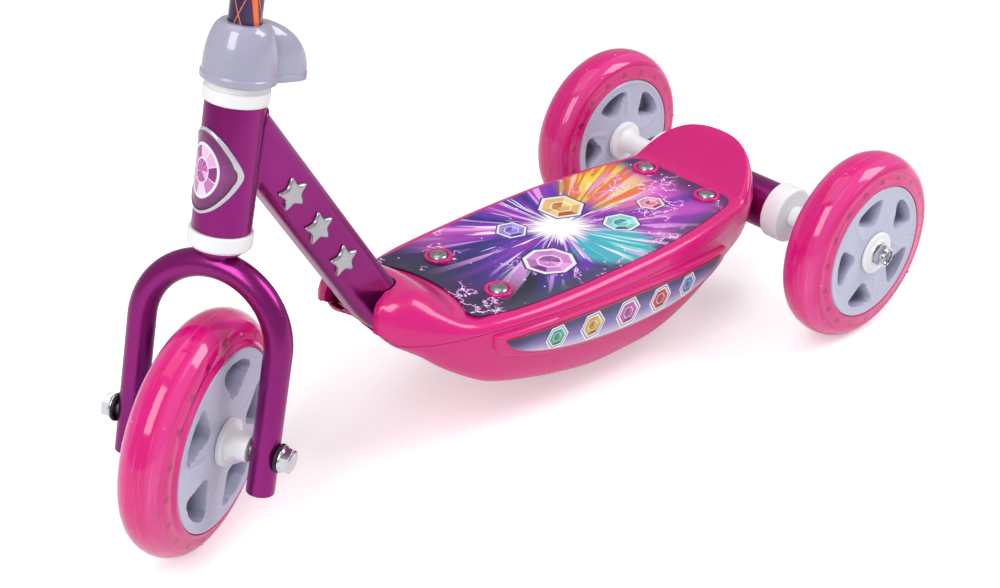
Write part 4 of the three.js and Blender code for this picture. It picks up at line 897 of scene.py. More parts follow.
def addBadge():
    inner, shares = headTube["radius"] + gap, [k / 30 for k in range(31)]
    rings, distances = [], []
    for lift, share in [(0, share) for share in shares] + [(1, share) for share in reversed(shares)]:
        ring = []
        for turn in turnsOf(120):
            y = badge["halfWidth"] * share * math.cos(turn)
            height = badge["halfHeight"] * share * math.sin(turn)
            distance = distanceToRim(y, height, inner)
            rim = badge["rim"] * (1 - eased((distance - badge["border"]) / 0.5)) * eased(distance / 0.4)
            radius = inner + (badge["thickness"] - badge["rim"] + rim) * lift
            ring.append(headPlace @ Vector((-math.sqrt(radius * radius - y * y), y, badge["centre"] + height)))
            distances.append(distance)
        rings.append(ring)
    mesh = ringMesh(rings, False, shares + shares[::-1])
    storeValues(mesh, "fromRim", distances)
    addPiece("head_badge_plate", mesh, badgeFinish(), "frame", ["head_badge"], sharp=60)


ringTop = headTube["top"] + gap + headRing["upper"]
addHead()
addBadge()
print("head made")


# Down tube: flattened oval, straight from the head, one bend, then along under the deck
downTube = {
    "halfTall": 14.7, "halfWide": 11.5, "corner": 8.0, "slope": math.radians(59.4), "offset": 122.95,
    "bendRadius": 90.0, "rearDrop": 3.2, "run": math.radians(2), "headWeld": 1.5, "axleWeld": 1.3,
}
slope, run = downTube["slope"], downTube["run"]
downAlong, downUp = Vector((math.cos(slope), 0, -math.sin(slope))), Vector((math.sin(slope), 0, math.cos(slope)))


def onDownTube(height):
    foot = steeringFoot + downUp * downTube["offset"]
    return foot + downAlong * ((foot.z - height) / math.sin(slope))


tubeStart = onDownTube((steeringPlace @ Vector((0, 0, headTube["top"]))).z)


def tubeSection(grow, steps=15):
    tall, wide, corner = (downTube[size] + grow for size in ("halfTall", "halfWide", "corner"))
    section = []
    for i, (signX, signY) in enumerate(((1, 1), (-1, 1), (-1, -1), (1, -1))):
        for k in range(steps + 1):
            turn = math.radians(90 * i + 90 * k / steps)
            out, aside = corner * math.cos(turn), corner * math.sin(turn)
            section.append((signX * (tall - corner) + out, signY * (wide - corner) + aside))
    return section


def tubeStations():
    rear = Vector((rearFoot.x, 0, rearFoot.z - downTube["rearDrop"]))
    corner = onDownTube(rear.z)
    for attempt in range(20):
        corner = onDownTube(rear.z + (rear.x - corner.x) * math.tan(run))
    outward = (rear - corner).normalized()
    bend = downAlong.angle(outward)
    start = corner - downAlong * (downTube["bendRadius"] * math.tan(bend / 2))
    centre = start + downUp * downTube["bendRadius"]
    turns = [Matrix.Rotation(-bend * k / 20, 3, "Y") for k in range(21)]
    return [(tubeStart, downAlong), *((centre + turn @ (start - centre), turn @ downAlong) for turn in turns),
            (rear, outward)]


# Where a line meets a round tube about an axis
def meetTube(point, along, foot, axis, radius, way):
    flatAlong = along - axis * along.dot(axis)
    flatPoint = point - foot - axis * (point - foot).dot(axis)
    a, b, c = flatAlong.length_squared, flatPoint.dot(flatAlong), flatPoint.length_squared - radius * radius
    return point + along * ((-b + way * math.sqrt(max(b * b - a * c, 0))) / a)


def downTubeRings(grow, trimmed=True):
    stations = tubeStations()
    rings = []
    for point, along in stations:
        up = across.cross(along)
        rings.append([point + up * tall + across * wide for tall, wide in tubeSection(grow)])
    if trimmed:
        reach, outward = gap / 2, stations[-1][1]
        rings[0] = [meetTube(point, downAlong, steeringFoot, steeringUp, headTube["radius"] + reach, 1)
                    for point in rings[0]]
        rings[-1] = [meetTube(point, outward, rearFoot, across, crossTube["radius"] + reach, -1) for point in rings[-2]]
    return rings


tubeRings = downTubeRings(0)
joinPieces([
    addPiece("down_tube_skin", ringMesh(tubeRings), purplePaint, "frame", ["down_tube"]),
    addPiece("head_weld", wireMesh(tubeRings[0], downTube["headWeld"]), purplePaint, "frame"),
    addPiece("axle_weld", wireMesh(tubeRings[-1], downTube["axleWeld"]), purplePaint, "frame")])

# Three star emblems on the flat side of the tube
emblem = {
    "spacing": 30.4, "radius": 9.6, "waist": 5.9, "thickness": 1.9, "points": 5, "first": 64.0, "drop": 3.0,
    "bevel": 0.42, "foot": 0.3,
}


def emblemMesh():
    turns = turnsOf(2 * emblem["points"], quarter)
    loop = smoothLoop([spun(emblem["waist" if i % 2 else "radius"], turn) for i, turn in enumerate(turns)], 120)
    rings = [loop]
    for share in (k / 12 for k in range(13)):
        rise = math.sqrt(1 - (1 - min(share / emblem["bevel"], 1)) ** 2)
        lift = emblem["thickness"] * (emblem["foot"] + (1 - emblem["foot"]) * rise)
        scale = 1 - share * 0.999
        rings.append([Vector((point.x * scale, point.y * scale, lift)) for point in loop])
    return ringMesh(rings)


starSpots = [tubeStart + downAlong * (emblem["first"] + emblem["spacing"] * i) - downUp * emblem["drop"]
             - across * (downTube["halfWide"] + gap / 2) for i in range(3)]
starStands = ["tube_emblem_" + number for number in "123"]
addFasteners("tube_stars", emblemMesh(), starSpots, emblemMetal, starStands, (quarter, 0, 0), sharp=50)
print("down tube made")


# Deck: both shells follow the same outline, with heights read from share tables
deck = {
    "length": 328.0, "noseToAxle": 330.3, "halfWidth": 62.5, "clearance": 20.4, "depth": 98.6, "wall": 2.2,
    "bottomInset": 18.5, "rim": 7.0, "dish": 2.5, "bellyFront": 12.0, "seam": 0.2, "outlinePoints": 272,
    "tubeClear": 0.8, "axleClear": 0.6, "axleCut": 62.0,
}
noseX = rearFoot.x - deck["noseToAxle"]
heel = {"start": 291.0, "height": 26.0, "half": 47.6, "sideShare": 0.95, "riseShare": 1.15}
noseBow = {"reach": 9.0, "half": 34.0}
mouth = {"from": 19.0, "half": 12.3, "tipHalf": 26.0}
boss = {"outer": 8.8, "inner": 6.3, "hole": 3.3, "foot": -2.1, "rise": 3.2, "front": 93.2, "rear": 279.3, "half": 26.8}
deckBolt = {"head": 5.8, "dome": 2.9, "shank": 3.0, "below": 16.0, "nut": 5.0, "nutHeight": 4.6}
label = {
    "start": 71.0, "end": 260.0, "topStart": 77.5, "topEnd": 59.5, "arch": 2.5, "depth": 22.5, "thickness": 0.5,
    "lift": 0.15,
}
pad = {
    "margin": 7.0, "topMargin": 4.0, "ends": 7.0, "depth": 28.5, "proud": 2.8, "rounding": 1.1, "sunk": -1.1,
    "edge": -0.3,
}
bellyScrew = {
    "places": [(108, 38), (243, 36)], "tower": 6.0, "pocket": 4.6, "seat": 2.4, "seatBelow": 16.0, "shank": 1.9,
    "head": 3.9, "headHeight": 2.2, "length": 11.2,
}
sheet = {
    "start": 67.5, "end": 289.0, "bow": 10.0, "inset": 8.2, "thickness": 0.8, "corner": 12.0, "frontCorner": 8.0,
    "lift": 0.3, "middle": (40.0, 45.0),
}
strap = {"half": 36.0, "halfWide": 7.0, "thickness": 1.1, "seat": 0.15}

outlineShares = [
    (1, 0), (0.989, 0.32), (0.955, 0.61), (0.91, 0.762), (0.848, 0.834), (0.77, 0.916), (0.65, 0.986), (0.53, 1),
    (0.405, 0.984), (0.284, 0.936), (0.198, 0.86), (0.146, 0.782), (0.088, 0.66), (0.043, 0.54), (0.014, 0.478),
    (0.002, 0.428), (0, 0.2), (0, 0)]
partingShares = [
    (0, 0.787), (0.037, 0.691), (0.085, 0.66), (0.168, 0.653), (0.235, 0.645), (0.378, 0.604), (0.558, 0.564),
    (0.68, 0.556), (0.811, 0.556), (1, 0.564)]
topShares = [
    (0, 0.925), (0.03, 0.935), (0.06, 0.93), (0.1, 0.928), (0.126, 0.9), (0.144, 0.862), (0.162, 0.81), (0.18, 0.759),
    (0.196, 0.729), (0.214, 0.711), (0.284, 0.678), (0.405, 0.657), (0.527, 0.645), (0.68, 0.629), (0.881, 0.615),
    (1, 0.612)]
bottomShares = [
    (0, 0.73), (0.046, 0.612), (0.116, 0.395), (0.189, 0.235), (0.244, 0.171), (0.293, 0.127), (0.351, 0.077),
    (0.448, 0.014), (0.534, 0), (0.625, 0.004), (0.741, 0.09), (0.841, 0.2), (0.927, 0.3), (1, 0.36)]
roundShares = [
    (0, 0.11), (0.055, 0.3), (0.1, 0.42), (0.146, 0.38), (0.2, 0.2), (0.26, 0.112), (0.88, 0.112), (1, 0.09)]
bellyShares = [(0, 0.02), (0.3, 0.05), (0.6, 0.15), (0.8, 0.27), (0.93, 0.5), (1, 1)]


# Curve through share pairs with even slopes, as a function of the first value
def smoothProfile(shares, length, height):
    spots = [Vector((along * length, share * height)) for along, share in shares]
    last = len(spots) - 1
    slopes = []
    for i in range(last + 1):
        before, after = spots[max(i - 1, 0)], spots[min(i + 1, last)]
        slopes.append((after.y - before.y) / (after.x - before.x))

    def at(x):
        x = min(max(x, spots[0].x), spots[last].x)
        i = 0
        while i < last - 1 and x > spots[i + 1].x:
            i += 1
        a, b = spots[i], spots[i + 1]
        span = b.x - a.x
        t = (x - a.x) / span
        square, cube = t * t, t * t * t
        return (a.y * (2 * cube - 3 * square + 1) + slopes[i] * span * (cube - 2 * square + t)
                + b.y * (3 * square - 2 * cube) + slopes[i + 1] * span * (cube - square))

    return at


partingAt, topAt, bottomAt = (smoothProfile(shares, deck["length"], deck["depth"]) for shares in (
    partingShares, topShares, bottomShares))
roundAt = smoothProfile(roundShares, deck["length"], deck["halfWidth"])
bellyAt = smoothProfile(bellyShares, 1, 1)
halfCorners = [Vector((noseX + deck["length"] * along, deck["halfWidth"] * wide)) for along, wide in outlineShares]
farCorners = [Vector((corner.x, -corner.y)) for corner in reversed(halfCorners[1:-1])]
outline = smoothLoop(halfCorners + farCorners, deck["outlinePoints"])
inwards = []
for i in range(len(outline)):
    stretch = outline[(i + 1) % len(outline)] - outline[i - 1]
    inwards.append(Vector((-stretch.y, stretch.x)).normalized())
upperHalf = outline[:len(outline) // 2 + 1]


def halfWidthAt(x):
    for a, b in zip(upperHalf, upperHalf[1:]):
        if b.x <= x <= a.x:
            return a.y + (b.y - a.y) * (a.x - x) / max(a.x - b.x, 1e-6)
    return 0.0


# Rise of the heel guard behind the sheet, highest at the rear centre
def heelRise(x, y):
    start, end = noseX + heel["start"], noseX + deck["length"] - deck["rim"]
    if x <= start:
        return 0.0
    wide = math.sqrt(1 - min(abs(y) / heel["half"], 1) ** 2)
    along = min((x - start) / ((end - start) * max(wide, 0.3)), 1)
    return heel["height"] * wide ** heel["sideShare"] * along ** heel["riseShare"]


def surfaceAt(x, y):
    dish = deck["dish"] * min(abs(y) / max(halfWidthAt(x), deck["rim"]), 1) ** 2
    bow = noseBow["reach"] * (min(abs(y), noseBow["half"]) / noseBow["half"]) ** 2
    return deck["clearance"] + topAt(x + bow - noseX) + dish + heelRise(x, y)


def onDeck(x, y, lift=0.0):
    return Vector((x, y, surfaceAt(x, y) + lift))


def partingHeight(x):
    return deck["clearance"] + partingAt(x - noseX)


def seamHeight(x):
    return partingHeight(x) - deck["seam"]


def bottomHeight(x):
    return deck["clearance"] + min(bottomAt(x - noseX), partingAt(x - noseX) - deck["wall"])


def spineX(x):
    return min(max(x, noseX + deck["halfWidth"] / 2), noseX + deck["length"] - deck["halfWidth"])


def ringAt(insetOf, heightOf):
    ring = []
    for spot, inward in zip(outline, inwards):
        place = spot + inward * insetOf(spot)
        ring.append(Vector((place.x, place.y, heightOf(place, spot))))
    return ring


def spineRing(heightOf):
    return [Vector((spineX(spot.x), 0, heightOf(spineX(spot.x)))) for spot in outline]


# Rings of the top skin from the parting line over the rounded rim to the middle
def topRings(wall, low):
    rings = [ringAt(lambda spot: wall, lambda place, spot: partingHeight(spot.x) + low)]
    for k in range(1, 15):
        turn, least = quarter * k / 14, low + 0.05 * k
        rings.append(ringAt(
            lambda spot: wall + roundAt(spot.x - noseX) * (1 - math.cos(turn)),
            lambda place, spot: partingHeight(spot.x) + max(
                (surfaceAt(place.x, place.y) - wall - partingHeight(spot.x)) * math.sin(turn), least)))
    edge = rings[-1]
    for share in (0.05, 0.1, 0.16, 0.23, 0.31, 0.4, 0.5, 0.61, 0.73, 0.86):
        moved = [place.lerp(Vector((spineX(spot.x), 0, 0)), share) for place, spot in zip(edge, outline)]
        rings.append([onDeck(place.x, place.y, -wall) for place in moved])
    return rings + [spineRing(lambda x: surfaceAt(x, 0) - wall)]


def bellyRings(wall):
    rings = []
    for k in range(31):
        down = math.sin(quarter * k / 30)
        rings.append(ringAt(
            lambda spot: wall + deck["bottomInset"] * bellyAt(down),
            lambda place, spot: seamHeight(spot.x) - max(seamHeight(spot.x) - bottomHeight(spot.x) - wall, 0.3) * down))
    return rings + [spineRing(lambda x: bottomHeight(x) + wall)]


def bellySideAt(x, z):
    top = seamHeight(x)
    share = min(max((top - z) / (top - bottomHeight(x)), 0), 1)
    return halfWidthAt(x) - deck["bottomInset"] * bellyAt(share)


# A shell: the outer rings, a rolled edge, then the inner rings
def shellMesh(outer, inner, lift):
    edge = []
    for up, inset in ((0.5, 0.0), (0.15, 0.15), (0.0, 0.5)):
        edge.append([Vector((point.x + inward.x * inset, point.y + inward.y * inset, point.z + lift * up))
                     for point, inward in zip(outer[0], inwards)])
    return ringMesh(outer[:0:-1] + edge + inner, capped=False)


def blockMesh(corners, low, high):
    return ringMesh([[Vector((x, y, z)) for x, y in corners] for z in (low, high)])


def postsMesh(radius, spans):
    return mergedMesh([rodMesh(radius, low, high, Matrix.Translation((x, y, 0)), 48) for x, y, low, high in spans])


mouthEnd, mouthTip = noseX + mouth["from"], noseX - 4
mouthCut = blockMesh([
    (mouthEnd, -mouth["half"]), (mouthEnd, mouth["half"]), (mouthTip, mouth["tipHalf"]), (mouthTip, -mouth["tipHalf"])],
    0, 2 * deck["depth"])
tubeCut = ringMesh(downTubeRings(deck["tubeClear"], trimmed=False))
axleCut = rodMesh(crossTube["radius"] + deck["axleClear"], -deck["axleCut"], deck["axleCut"], rearPlace)
boltSpots = [(noseX + boss[end], boss["half"] * side) for end in ("front", "rear") for side in (-1, 1)]
screwSpots = [(noseX + along, wide * side) for along, wide in bellyScrew["places"] for side in (-1, 1)]


def addDeckTop():
    shell = carved(shellMesh(topRings(0, 0), topRings(deck["wall"], 0.02), 1),
                   ("DIFFERENCE", mouthCut), ("DIFFERENCE", tubeCut), ("DIFFERENCE", axleCut))
    outer, inner, rise, hole, foot = (boss[size] for size in ("outer", "inner", "rise", "hole", "foot"))
    ring = closed([
        (hole, foot), (outer + 0.8, foot), (outer + 0.5, 0.3), (outer, 0.9, 0.5), (outer, rise, 1.2),
        (inner, rise, 0.8), (inner, rise / 2, 0.3), (hole, rise / 2)])
    joinPieces([addPiece("deck_top", shell, deckPink, "frame", ["deck_top_shell"], sharp=40)] + [
        addLathe("bolt_ring", ring, Matrix.Translation(onDeck(*spot)), deckPink, "frame", (), 64)
        for spot in boltSpots])


# Closed plate over a grid of shares u and v, from pointAt(u, v, face)
def plateMesh(rows, columns, pointAt):
    points, faces, corners = [], [], []
    for face in (0, 1):
        points += [pointAt(i / rows, j / columns, face) for i in range(rows + 1) for j in range(columns + 1)]

    def addFace(*places):
        faces.append(tuple((face * (rows + 1) + i) * (columns + 1) + j for i, j, face in places))
        corners.append([(i / rows, j / columns) for i, j, face in places])

    for i in range(rows):
        for j in range(columns):
            addFace((i, j, 0), (i, j + 1, 0), (i + 1, j + 1, 0), (i + 1, j, 0))
            addFace((i, j, 1), (i + 1, j, 1), (i + 1, j + 1, 1), (i, j + 1, 1))
    for i in range(rows):
        for j in (0, columns):
            addFace((i, j, 0), (i + 1, j, 0), (i + 1, j, 1), (i, j, 1))
    for j in range(columns):
        for i in (0, rows):
            addFace((i, j, 0), (i, j, 1), (i, j + 1, 1), (i, j + 1, 0))
    return meshOf(points, faces, corners)


labelLength = label["end"] - label["start"]


def labelTop(x):
    share = (x - noseX - label["start"]) / labelLength
    return label["topStart"] + (label["topEnd"] - label["topStart"]) * share + label["arch"] * 4 * share * (1 - share)


# Share of a pillow's height: full inside, rounded off towards its edges
def pillow(u, v, length, height):
    edge = min(u * length, (1 - u) * length, v * height, (1 - v) * height)
    return math.sqrt(1 - (1 - min(edge / pad["rounding"], 1)) ** 2)


def padPoint(side):
    def at(u, v, face):
        length, along = labelLength + 2 * pad["margin"], (1 - math.cos(math.pi * u)) / 2
        x = noseX + label["start"] - pad["margin"] + length * along
        height = pad["ends"] + (pad["depth"] - pad["ends"]) * math.sin(math.pi * u)
        z = labelTop(x) + pad["topMargin"] - height * v
        raised = pad["edge"] + (pad["proud"] - pad["edge"]) * pillow(along, v, length, height)
        return Vector((x, side * (bellySideAt(x, z) + (raised if face else pad["sunk"])), z))
    return at


def labelPoint(side):
    def at(u, v, face):
        x = noseX + label["start"] + labelLength * (1 - math.cos(math.pi * u)) / 2
        z = labelTop(x) - label["depth"] * math.sin(math.pi * u) * v
        return Vector((x, side * (bellySideAt(x, z) + pad["proud"] + label["lift"] + label["thickness"] * face), z))
    return at


def addDeckBelly():
    front = noseX + deck["bellyFront"]
    seats = [(x, y, partingHeight(x) - bellyScrew["seatBelow"]) for x, y in screwSpots]
    towers = [(x, y, bottomHeight(x) + 1, seat + bellyScrew["seat"]) for x, y, seat in seats]
    shell = carved(
        shellMesh(bellyRings(0), bellyRings(deck["wall"]), -1), ("UNION", postsMesh(bellyScrew["tower"], towers)),
        ("DIFFERENCE", postsMesh(bellyScrew["pocket"], [(x, y, -5, seat) for x, y, seat in seats])),
        ("DIFFERENCE", mouthCut), ("DIFFERENCE", tubeCut), ("DIFFERENCE", axleCut),
        ("DIFFERENCE", blockMesh([(noseX - 80, -80), (front, -80), (front, 80), (noseX - 80, 80)], -10, 200)))
    joinPieces([addPiece("deck_belly", shell, deckPink, "frame", ["deck_belly_shell"], sharp=40)] + [
        addPiece("belly_pad", plateMesh(120, 36, padPoint(side)), deckPink, "frame", sharp=60) for side in (-1, 1)])


addDeckTop()
addDeckBelly()
print("deck shells made")


# Printed film: a drawing under a thin clear coat
def printFinish(name, slotName, draw, roughness, coat):
    finish = Finish(name, slotName, "4B3F9A", roughness, coat=coat)
    finish.paint(draw(finish))
    finish.gloss(finish.noise(60, 3), 0.3, 0.75, roughness * 0.8, roughness * 1.25)
    finish.bump(finish.noise(500), 0.04, 0.0003)
    return finish.material


# Ragged blob mask, from the distances to its middle
def blob(finish, dx, dy, radius, wobble, soft):
    return finish.smooth(finish.reach(dx, dy) + (wobble - 0.5) * (radius * 0.8), radius * (1 - soft), radius, 1, 0)


gemCut = {"table": 0.42, "frame": 0.76, "rim": 0.9, "edge": 0.98, "halo": 1.1}


# Faceted gem in polar terms round its middle: gives its share of the radius and its colours
def gemPaint(finish, dx, dy, radius, sides, dark, bright, turned=0.0):
    turn = finish.math("ARCTAN2", dy, dx) * (sides / fullTurn) + (sides + turned)
    bend = (finish.math("FRACT", turn) - 0.5) * (fullTurn / sides)
    out = finish.reach(dx, dy) * finish.math("COSINE", bend) / radius
    table = finish.math("LESS_THAN", out, gemCut["table"])
    stone = finish.mix(finish.shade(finish.math("FLOOR", turn) + table * 31.0), dark, bright)
    stone = finish.mix(finish.smooth(abs(out - gemCut["table"]), 0.02, 0.05, 0.6, 0), stone, "FFFFFF")
    stone = finish.mix(finish.smooth(out, gemCut["frame"], gemCut["frame"] + 0.03), stone, "E9E7F0")
    return out, finish.mix(finish.smooth(out, gemCut["rim"], gemCut["rim"] + 0.03), stone, "3A2452")


# Side label: dark indigo ends, pale middle, a thin red border and five cut gems
def drawLabel(finish):
    along, down = finish.split(finish.surfaceMap())[:2]
    x, z = finish.split(finish.space)[::2]
    pale = down * 0.75 - (finish.smooth(abs(along - 0.5), 0.26, 0.5, 0.0, 0.62) + 0.06)
    painted = finish.ramp(pale + (finish.noise(40) - 0.5) * 0.1 + 0.3, [
        (0.05, "1E1A48"), (0.4, "3C3370"), (0.7, "8578B2"), (1.0, "DCD2EA")])
    motifs = [
        (0.19, 0.52, "075E4C", "34B79A", 6.6), (0.34, 0.5, "8A5A0A", "E2B82E", 7.8),
        (0.5, 0.5, "6E0E60", "CF56B8", 8.4), (0.655, 0.5, "7A0A1E", "D42E4E", 7.8),
        (0.8, 0.52, "0C3A78", "3E86D2", 6.6)]
    for share, height, dark, bright, radius in motifs:
        gemX = noseX + label["start"] + labelLength * share
        gemZ = labelTop(gemX) - label["depth"] * 2 * math.sqrt(share * (1 - share)) * height
        out, paint = gemPaint(finish, x - gemX * mm, z - gemZ * mm, radius * mm, 6, dark, bright)
        halo = 1 + gemCut["halo"] / radius
        painted = finish.mix(finish.smooth(out, gemCut["edge"] * halo, halo, 1, 0) * 0.85, painted, "F6F2FB")
        painted = finish.mix(finish.smooth(out, gemCut["edge"], 1.0, 1, 0), painted, paint)
    return finish.mix(finish.smooth(0.5 - abs(down - 0.5), 0.025, 0.045, 0.8, 0), painted, "C2302F")


labelPrint = printFinish("sideLabelPrint", "print", drawLabel, 0.3, 0.2)
for side, way in (("near", -1), ("far", 1)):
    name = "side_print_" + side
    addPiece(name, plateMesh(140, 24, labelPoint(way)), labelPrint, "frame", ["side_label_" + side])


# Printed sheet: rings drawn in from its outline follow the deck surface
def sheetOutline():
    front, rear, corner, turn = noseX + sheet["start"], noseX + sheet["end"], sheet["corner"], sheet["frontCorner"]
    nose, last = front - sheet["bow"], rear - corner

    def edgeAt(x):
        return Vector((x, halfWidthAt(x) - sheet["inset"]))

    def bend(a, b, c, steps):
        return [a.lerp(b, k / steps).lerp(b.lerp(c, k / steps), k / steps) for k in range(1, steps + 1)]

    turnEnd, rearEdge = edgeAt(nose + turn), edgeAt(rear)
    turnStart, middle = Vector((nose, turnEnd.y - turn)), Vector((front, 0))
    half = [middle] + bend(middle, Vector((front, turnEnd.y / 2)), turnStart, 16)
    half += bend(turnStart, Vector((nose, turnEnd.y)), turnEnd, 8)
    half += [edgeAt(turnEnd.x + (last - turnEnd.x) * k / 60) for k in range(1, 61)]
    half += bend(half[-1], rearEdge, Vector((rear, rearEdge.y - corner)), 10)
    half += [Vector((rear, (rearEdge.y - corner) * (1 - k / 8))) for k in range(1, 9)]
    return half + [Vector((spot.x, -spot.y)) for spot in reversed(half[1:-1])]


def sheetMesh():
    loop, thickness, (fromFront, fromRear) = sheetOutline(), sheet["thickness"], sheet["middle"]
    low, high = noseX + sheet["start"] + fromFront, noseX + sheet["end"] - fromRear

    def ring(share, inset, lift):
        points = []
        for spot in loop:
            target = Vector((min(max(spot.x, low), high), 0))
            place = spot.lerp(target, share) + (target - spot).normalized() * inset
            points.append(onDeck(place.x, place.y, sheet["lift"] + lift))
        return points

    shares = [1 - k / 18 for k in range(18)]
    side = [ring(0, inset, lift) for inset, lift in (
        (0, 0), (0, thickness - 0.25), (0.1, thickness - 0.07), (0.3, thickness))]
    return ringMesh([ring(share, 0, 0) for share in shares] + side
                    + [ring(share, 0, thickness) for share in reversed(shares)], capped=False)


# Sheet print: a burst of sharp rays over dark ground, with sparks, arcs and cut gems
def drawSheet(finish):
    x, y = finish.split(finish.space)[:2]

    def offset(along, aside):
        return x - (noseX + along) * mm, y - aside * mm

    def fade(value, low, high, start, end):
        return finish.smooth(value, low * mm, high * mm, start, end)

    dx, dy = offset(178, 8)
    turn, reach = finish.math("ARCTAN2", dy, dx), finish.reach(dx, dy)
    circle = finish.signal("CombineXYZ", {
        0: finish.math("COSINE", turn), 1: finish.math("SINE", turn), 2: reach * 1.5})
    wide, fine = finish.noise(3.2, 2, 0.5, circle), finish.noise(12, 2, 0.6, circle)
    rays, cloud, bolt = finish.noise(8, 1, 0.4, circle), finish.noise(30, 3), abs(finish.noise(55, 4, 0.65) - 0.5)
    ground = finish.ramp(wide + (cloud - 0.5) * 0.2, [
        (0.28, "151338"), (0.42, "2B1F7A"), (0.5, "5B27A8"), (0.6, "9A2FB0"), (0.72, "D65AC4")])
    sharp, sparks = finish.smooth(fine, 0.5, 0.56), finish.smooth(cloud, 0.46, 0.54) * fade(reach, 40, 60, 0, 1)
    layers = [
        (fade(x, noseX + 66, noseX + 128, 0.9, 0), "14132F"), (fade(y, -50, -36, 0.85, 0), "3B3F58"),
        (fade(x, noseX + 262, noseX + 284, 0, 0.85), "2A2848"),
        (blob(finish, *offset(242, 26), 40 * mm, wide, 0.5) * 0.9, finish.mix(sharp, "EE7A1E", "F8D83A")),
        (blob(finish, *offset(186, -32), 30 * mm, fine, 0.4) * 0.85, finish.mix(sharp, "2FB9C9", "8BEBE2")),
        (finish.smooth(rays, 0.56, 0.6) * fade(reach, 45, 110, 0.85, 0), "E9A4F0"),
        (finish.smooth(fine, 0.6, 0.63) * fade(reach, 35, 85, 0.95, 0), "FDF6FF"),
        (fade(reach + fine * (46 * mm), 34, 44, 1, 0), "FFFFFF"),
        (finish.smooth(bolt, 0.012, 0.03, 0.8, 0) * sparks, "D53BD0"),
        (finish.smooth(bolt, 0.004, 0.01, 1, 0) * sparks, "FFFFFF")]
    for along, aside, radius, *cut in (
            (142, -20, 17, 8, "7A1A86", "F0A2EC", 0.2), (198, 26, 15, 6, "B4501C", "FBE08A", 0.4),
            (212, -14, 12, 7, "136E86", "9BF0EC", 0.1), (152, 24, 10, 6, "4A2AA0", "B9A2F6", 0.3),
            (246, -8, 9, 6, "A01E50", "FBA8C0", 0.0)):
        out, paint = gemPaint(finish, *offset(along, aside), radius * mm, *cut)
        layers.append((finish.smooth(out, gemCut["edge"], 1.0, 1, 0), paint))
    layers.append((finish.smooth(finish.cells("Distance", 110.0), 0.05, 0.09, 0.9, 0), "FFFFFF"))
    for mask, paint in layers:
        ground = finish.mix(mask, ground, paint)
    return ground


sheetPrint = printFinish("deckSheetPrint", "print", drawSheet, 0.36, 0.15)
addPiece("deck_print", sheetMesh(), sheetPrint, "frame", ["deck_sheet"], sharp=50)
print("prints made")


# Deck bolts, their nuts, the straps and the belly screws
def strapLevel(x):
    tubeTop = rearFoot.z - downTube["rearDrop"] + downTube["halfTall"] / math.cos(run)
    return tubeTop + (rearFoot.x - x + strap["halfWide"]) * math.tan(run) + strap["seat"]


def boltMesh():
    below, shank, head = -deckBolt["below"], deckBolt["shank"], deckBolt["head"]
    dome = [spun(1, quarter * k / 12) for k in range(13)]
    profile = [(0, below), (shank, below, 0.4), (shank, 0.3), (head, 0.3)]
    return latheMesh(filleted(profile + [(head * spot.x, 0.75 + (deckBolt["dome"] - 0.45) * spot.y) for spot in dome]),
                     upright, 64)


def screwMesh():
    head, shank, low, length = bellyScrew["head"], bellyScrew["shank"], -bellyScrew["headHeight"], bellyScrew["length"]
    return latheMesh(filleted([
        (0, low), (1.2, low), (1.2, low + 1), (1.6, low + 1), (1.6, low), (head, low, 0.9), (head, 0), (shank, 0, 0.3),
        (shank, length - 0.6, 0.8), (0, length)]), upright, 48)


def addStrap(end):
    x, wide, half = noseX + boss[end], strap["halfWide"], strap["half"]
    low = strapLevel(x)
    high = low + strap["thickness"]
    section = filleted([(0, low), (wide, low, 0.2), (wide, high, 0.4), (0, high)], 3)
    loop = section + [Vector((-spot.x, spot.y)) for spot in reversed(section)]
    rings = [[Vector((x + spot.x, y, spot.y)) for spot in loop] for y in (-half, -half / 2, 0, half / 2, half)]
    addPiece("deck_strap_" + end + "_plate", ringMesh(rings), purplePaint, "frame", ["deck_strap_" + end])


cornerNames = ["front_near", "front_far", "rear_near", "rear_far"]
nutMesh = hexNutMesh(deckBolt["nut"], deckBolt["nutHeight"], deckBolt["shank"] + 0.3, upright)
boltSeats = [onDeck(x, y, boss["rise"] / 2) for x, y in boltSpots]
nutSeats = [Vector((x, y, strapLevel(x) - strap["seat"] - deckBolt["nutHeight"])) for x, y in boltSpots]
screwSeats = [Vector((x, y, partingHeight(x) - bellyScrew["seatBelow"] - 0.15)) for x, y in screwSpots]
for name, shape, seats, material, stands in (
        ("deck_bolts", boltMesh(), boltSeats, domeMetal, "deck_bolt_"),
        ("deck_nuts", nutMesh, nutSeats, zincMetal, "deck_nut_"),
        ("belly_screws", screwMesh(), screwSeats, zincMetal, "belly_screw_")):
    addFasteners(name, shape, seats, material, [stands + corner for corner in cornerNames])
addStrap("front")
addStrap("rear")
print("fasteners made")


# Handle column with its print
def drawColumn(finish):
    turn, up = finish.split(finish.surfaceMap())[:2]
    base = finish.mix(finish.smooth(finish.noise(30, 3), 0.3, 0.7), "3A1450", "2A0E3C")
    zigzag, slant = finish.offMiddle(turn * 2.0), turn + up * (1 / 260)
    lines = [(up * (1 / 34) + zigzag * rise, "E8824A", 0.022, 0.7) for rise in (2.0, -2.0)]
    lines += [(slant + (0.5 - start), code, width, 0.9) for start, code, width in (
        (0.0, "FF6A1A", 0.03), (0.3, "C81F86", 0.022), (0.62, "FF6A1A", 0.03))]
    for level, code, width, core in lines:
        base = finish.mix(finish.smooth(finish.offMiddle(level), width * core, width, 1, 0), base, code)
    return base


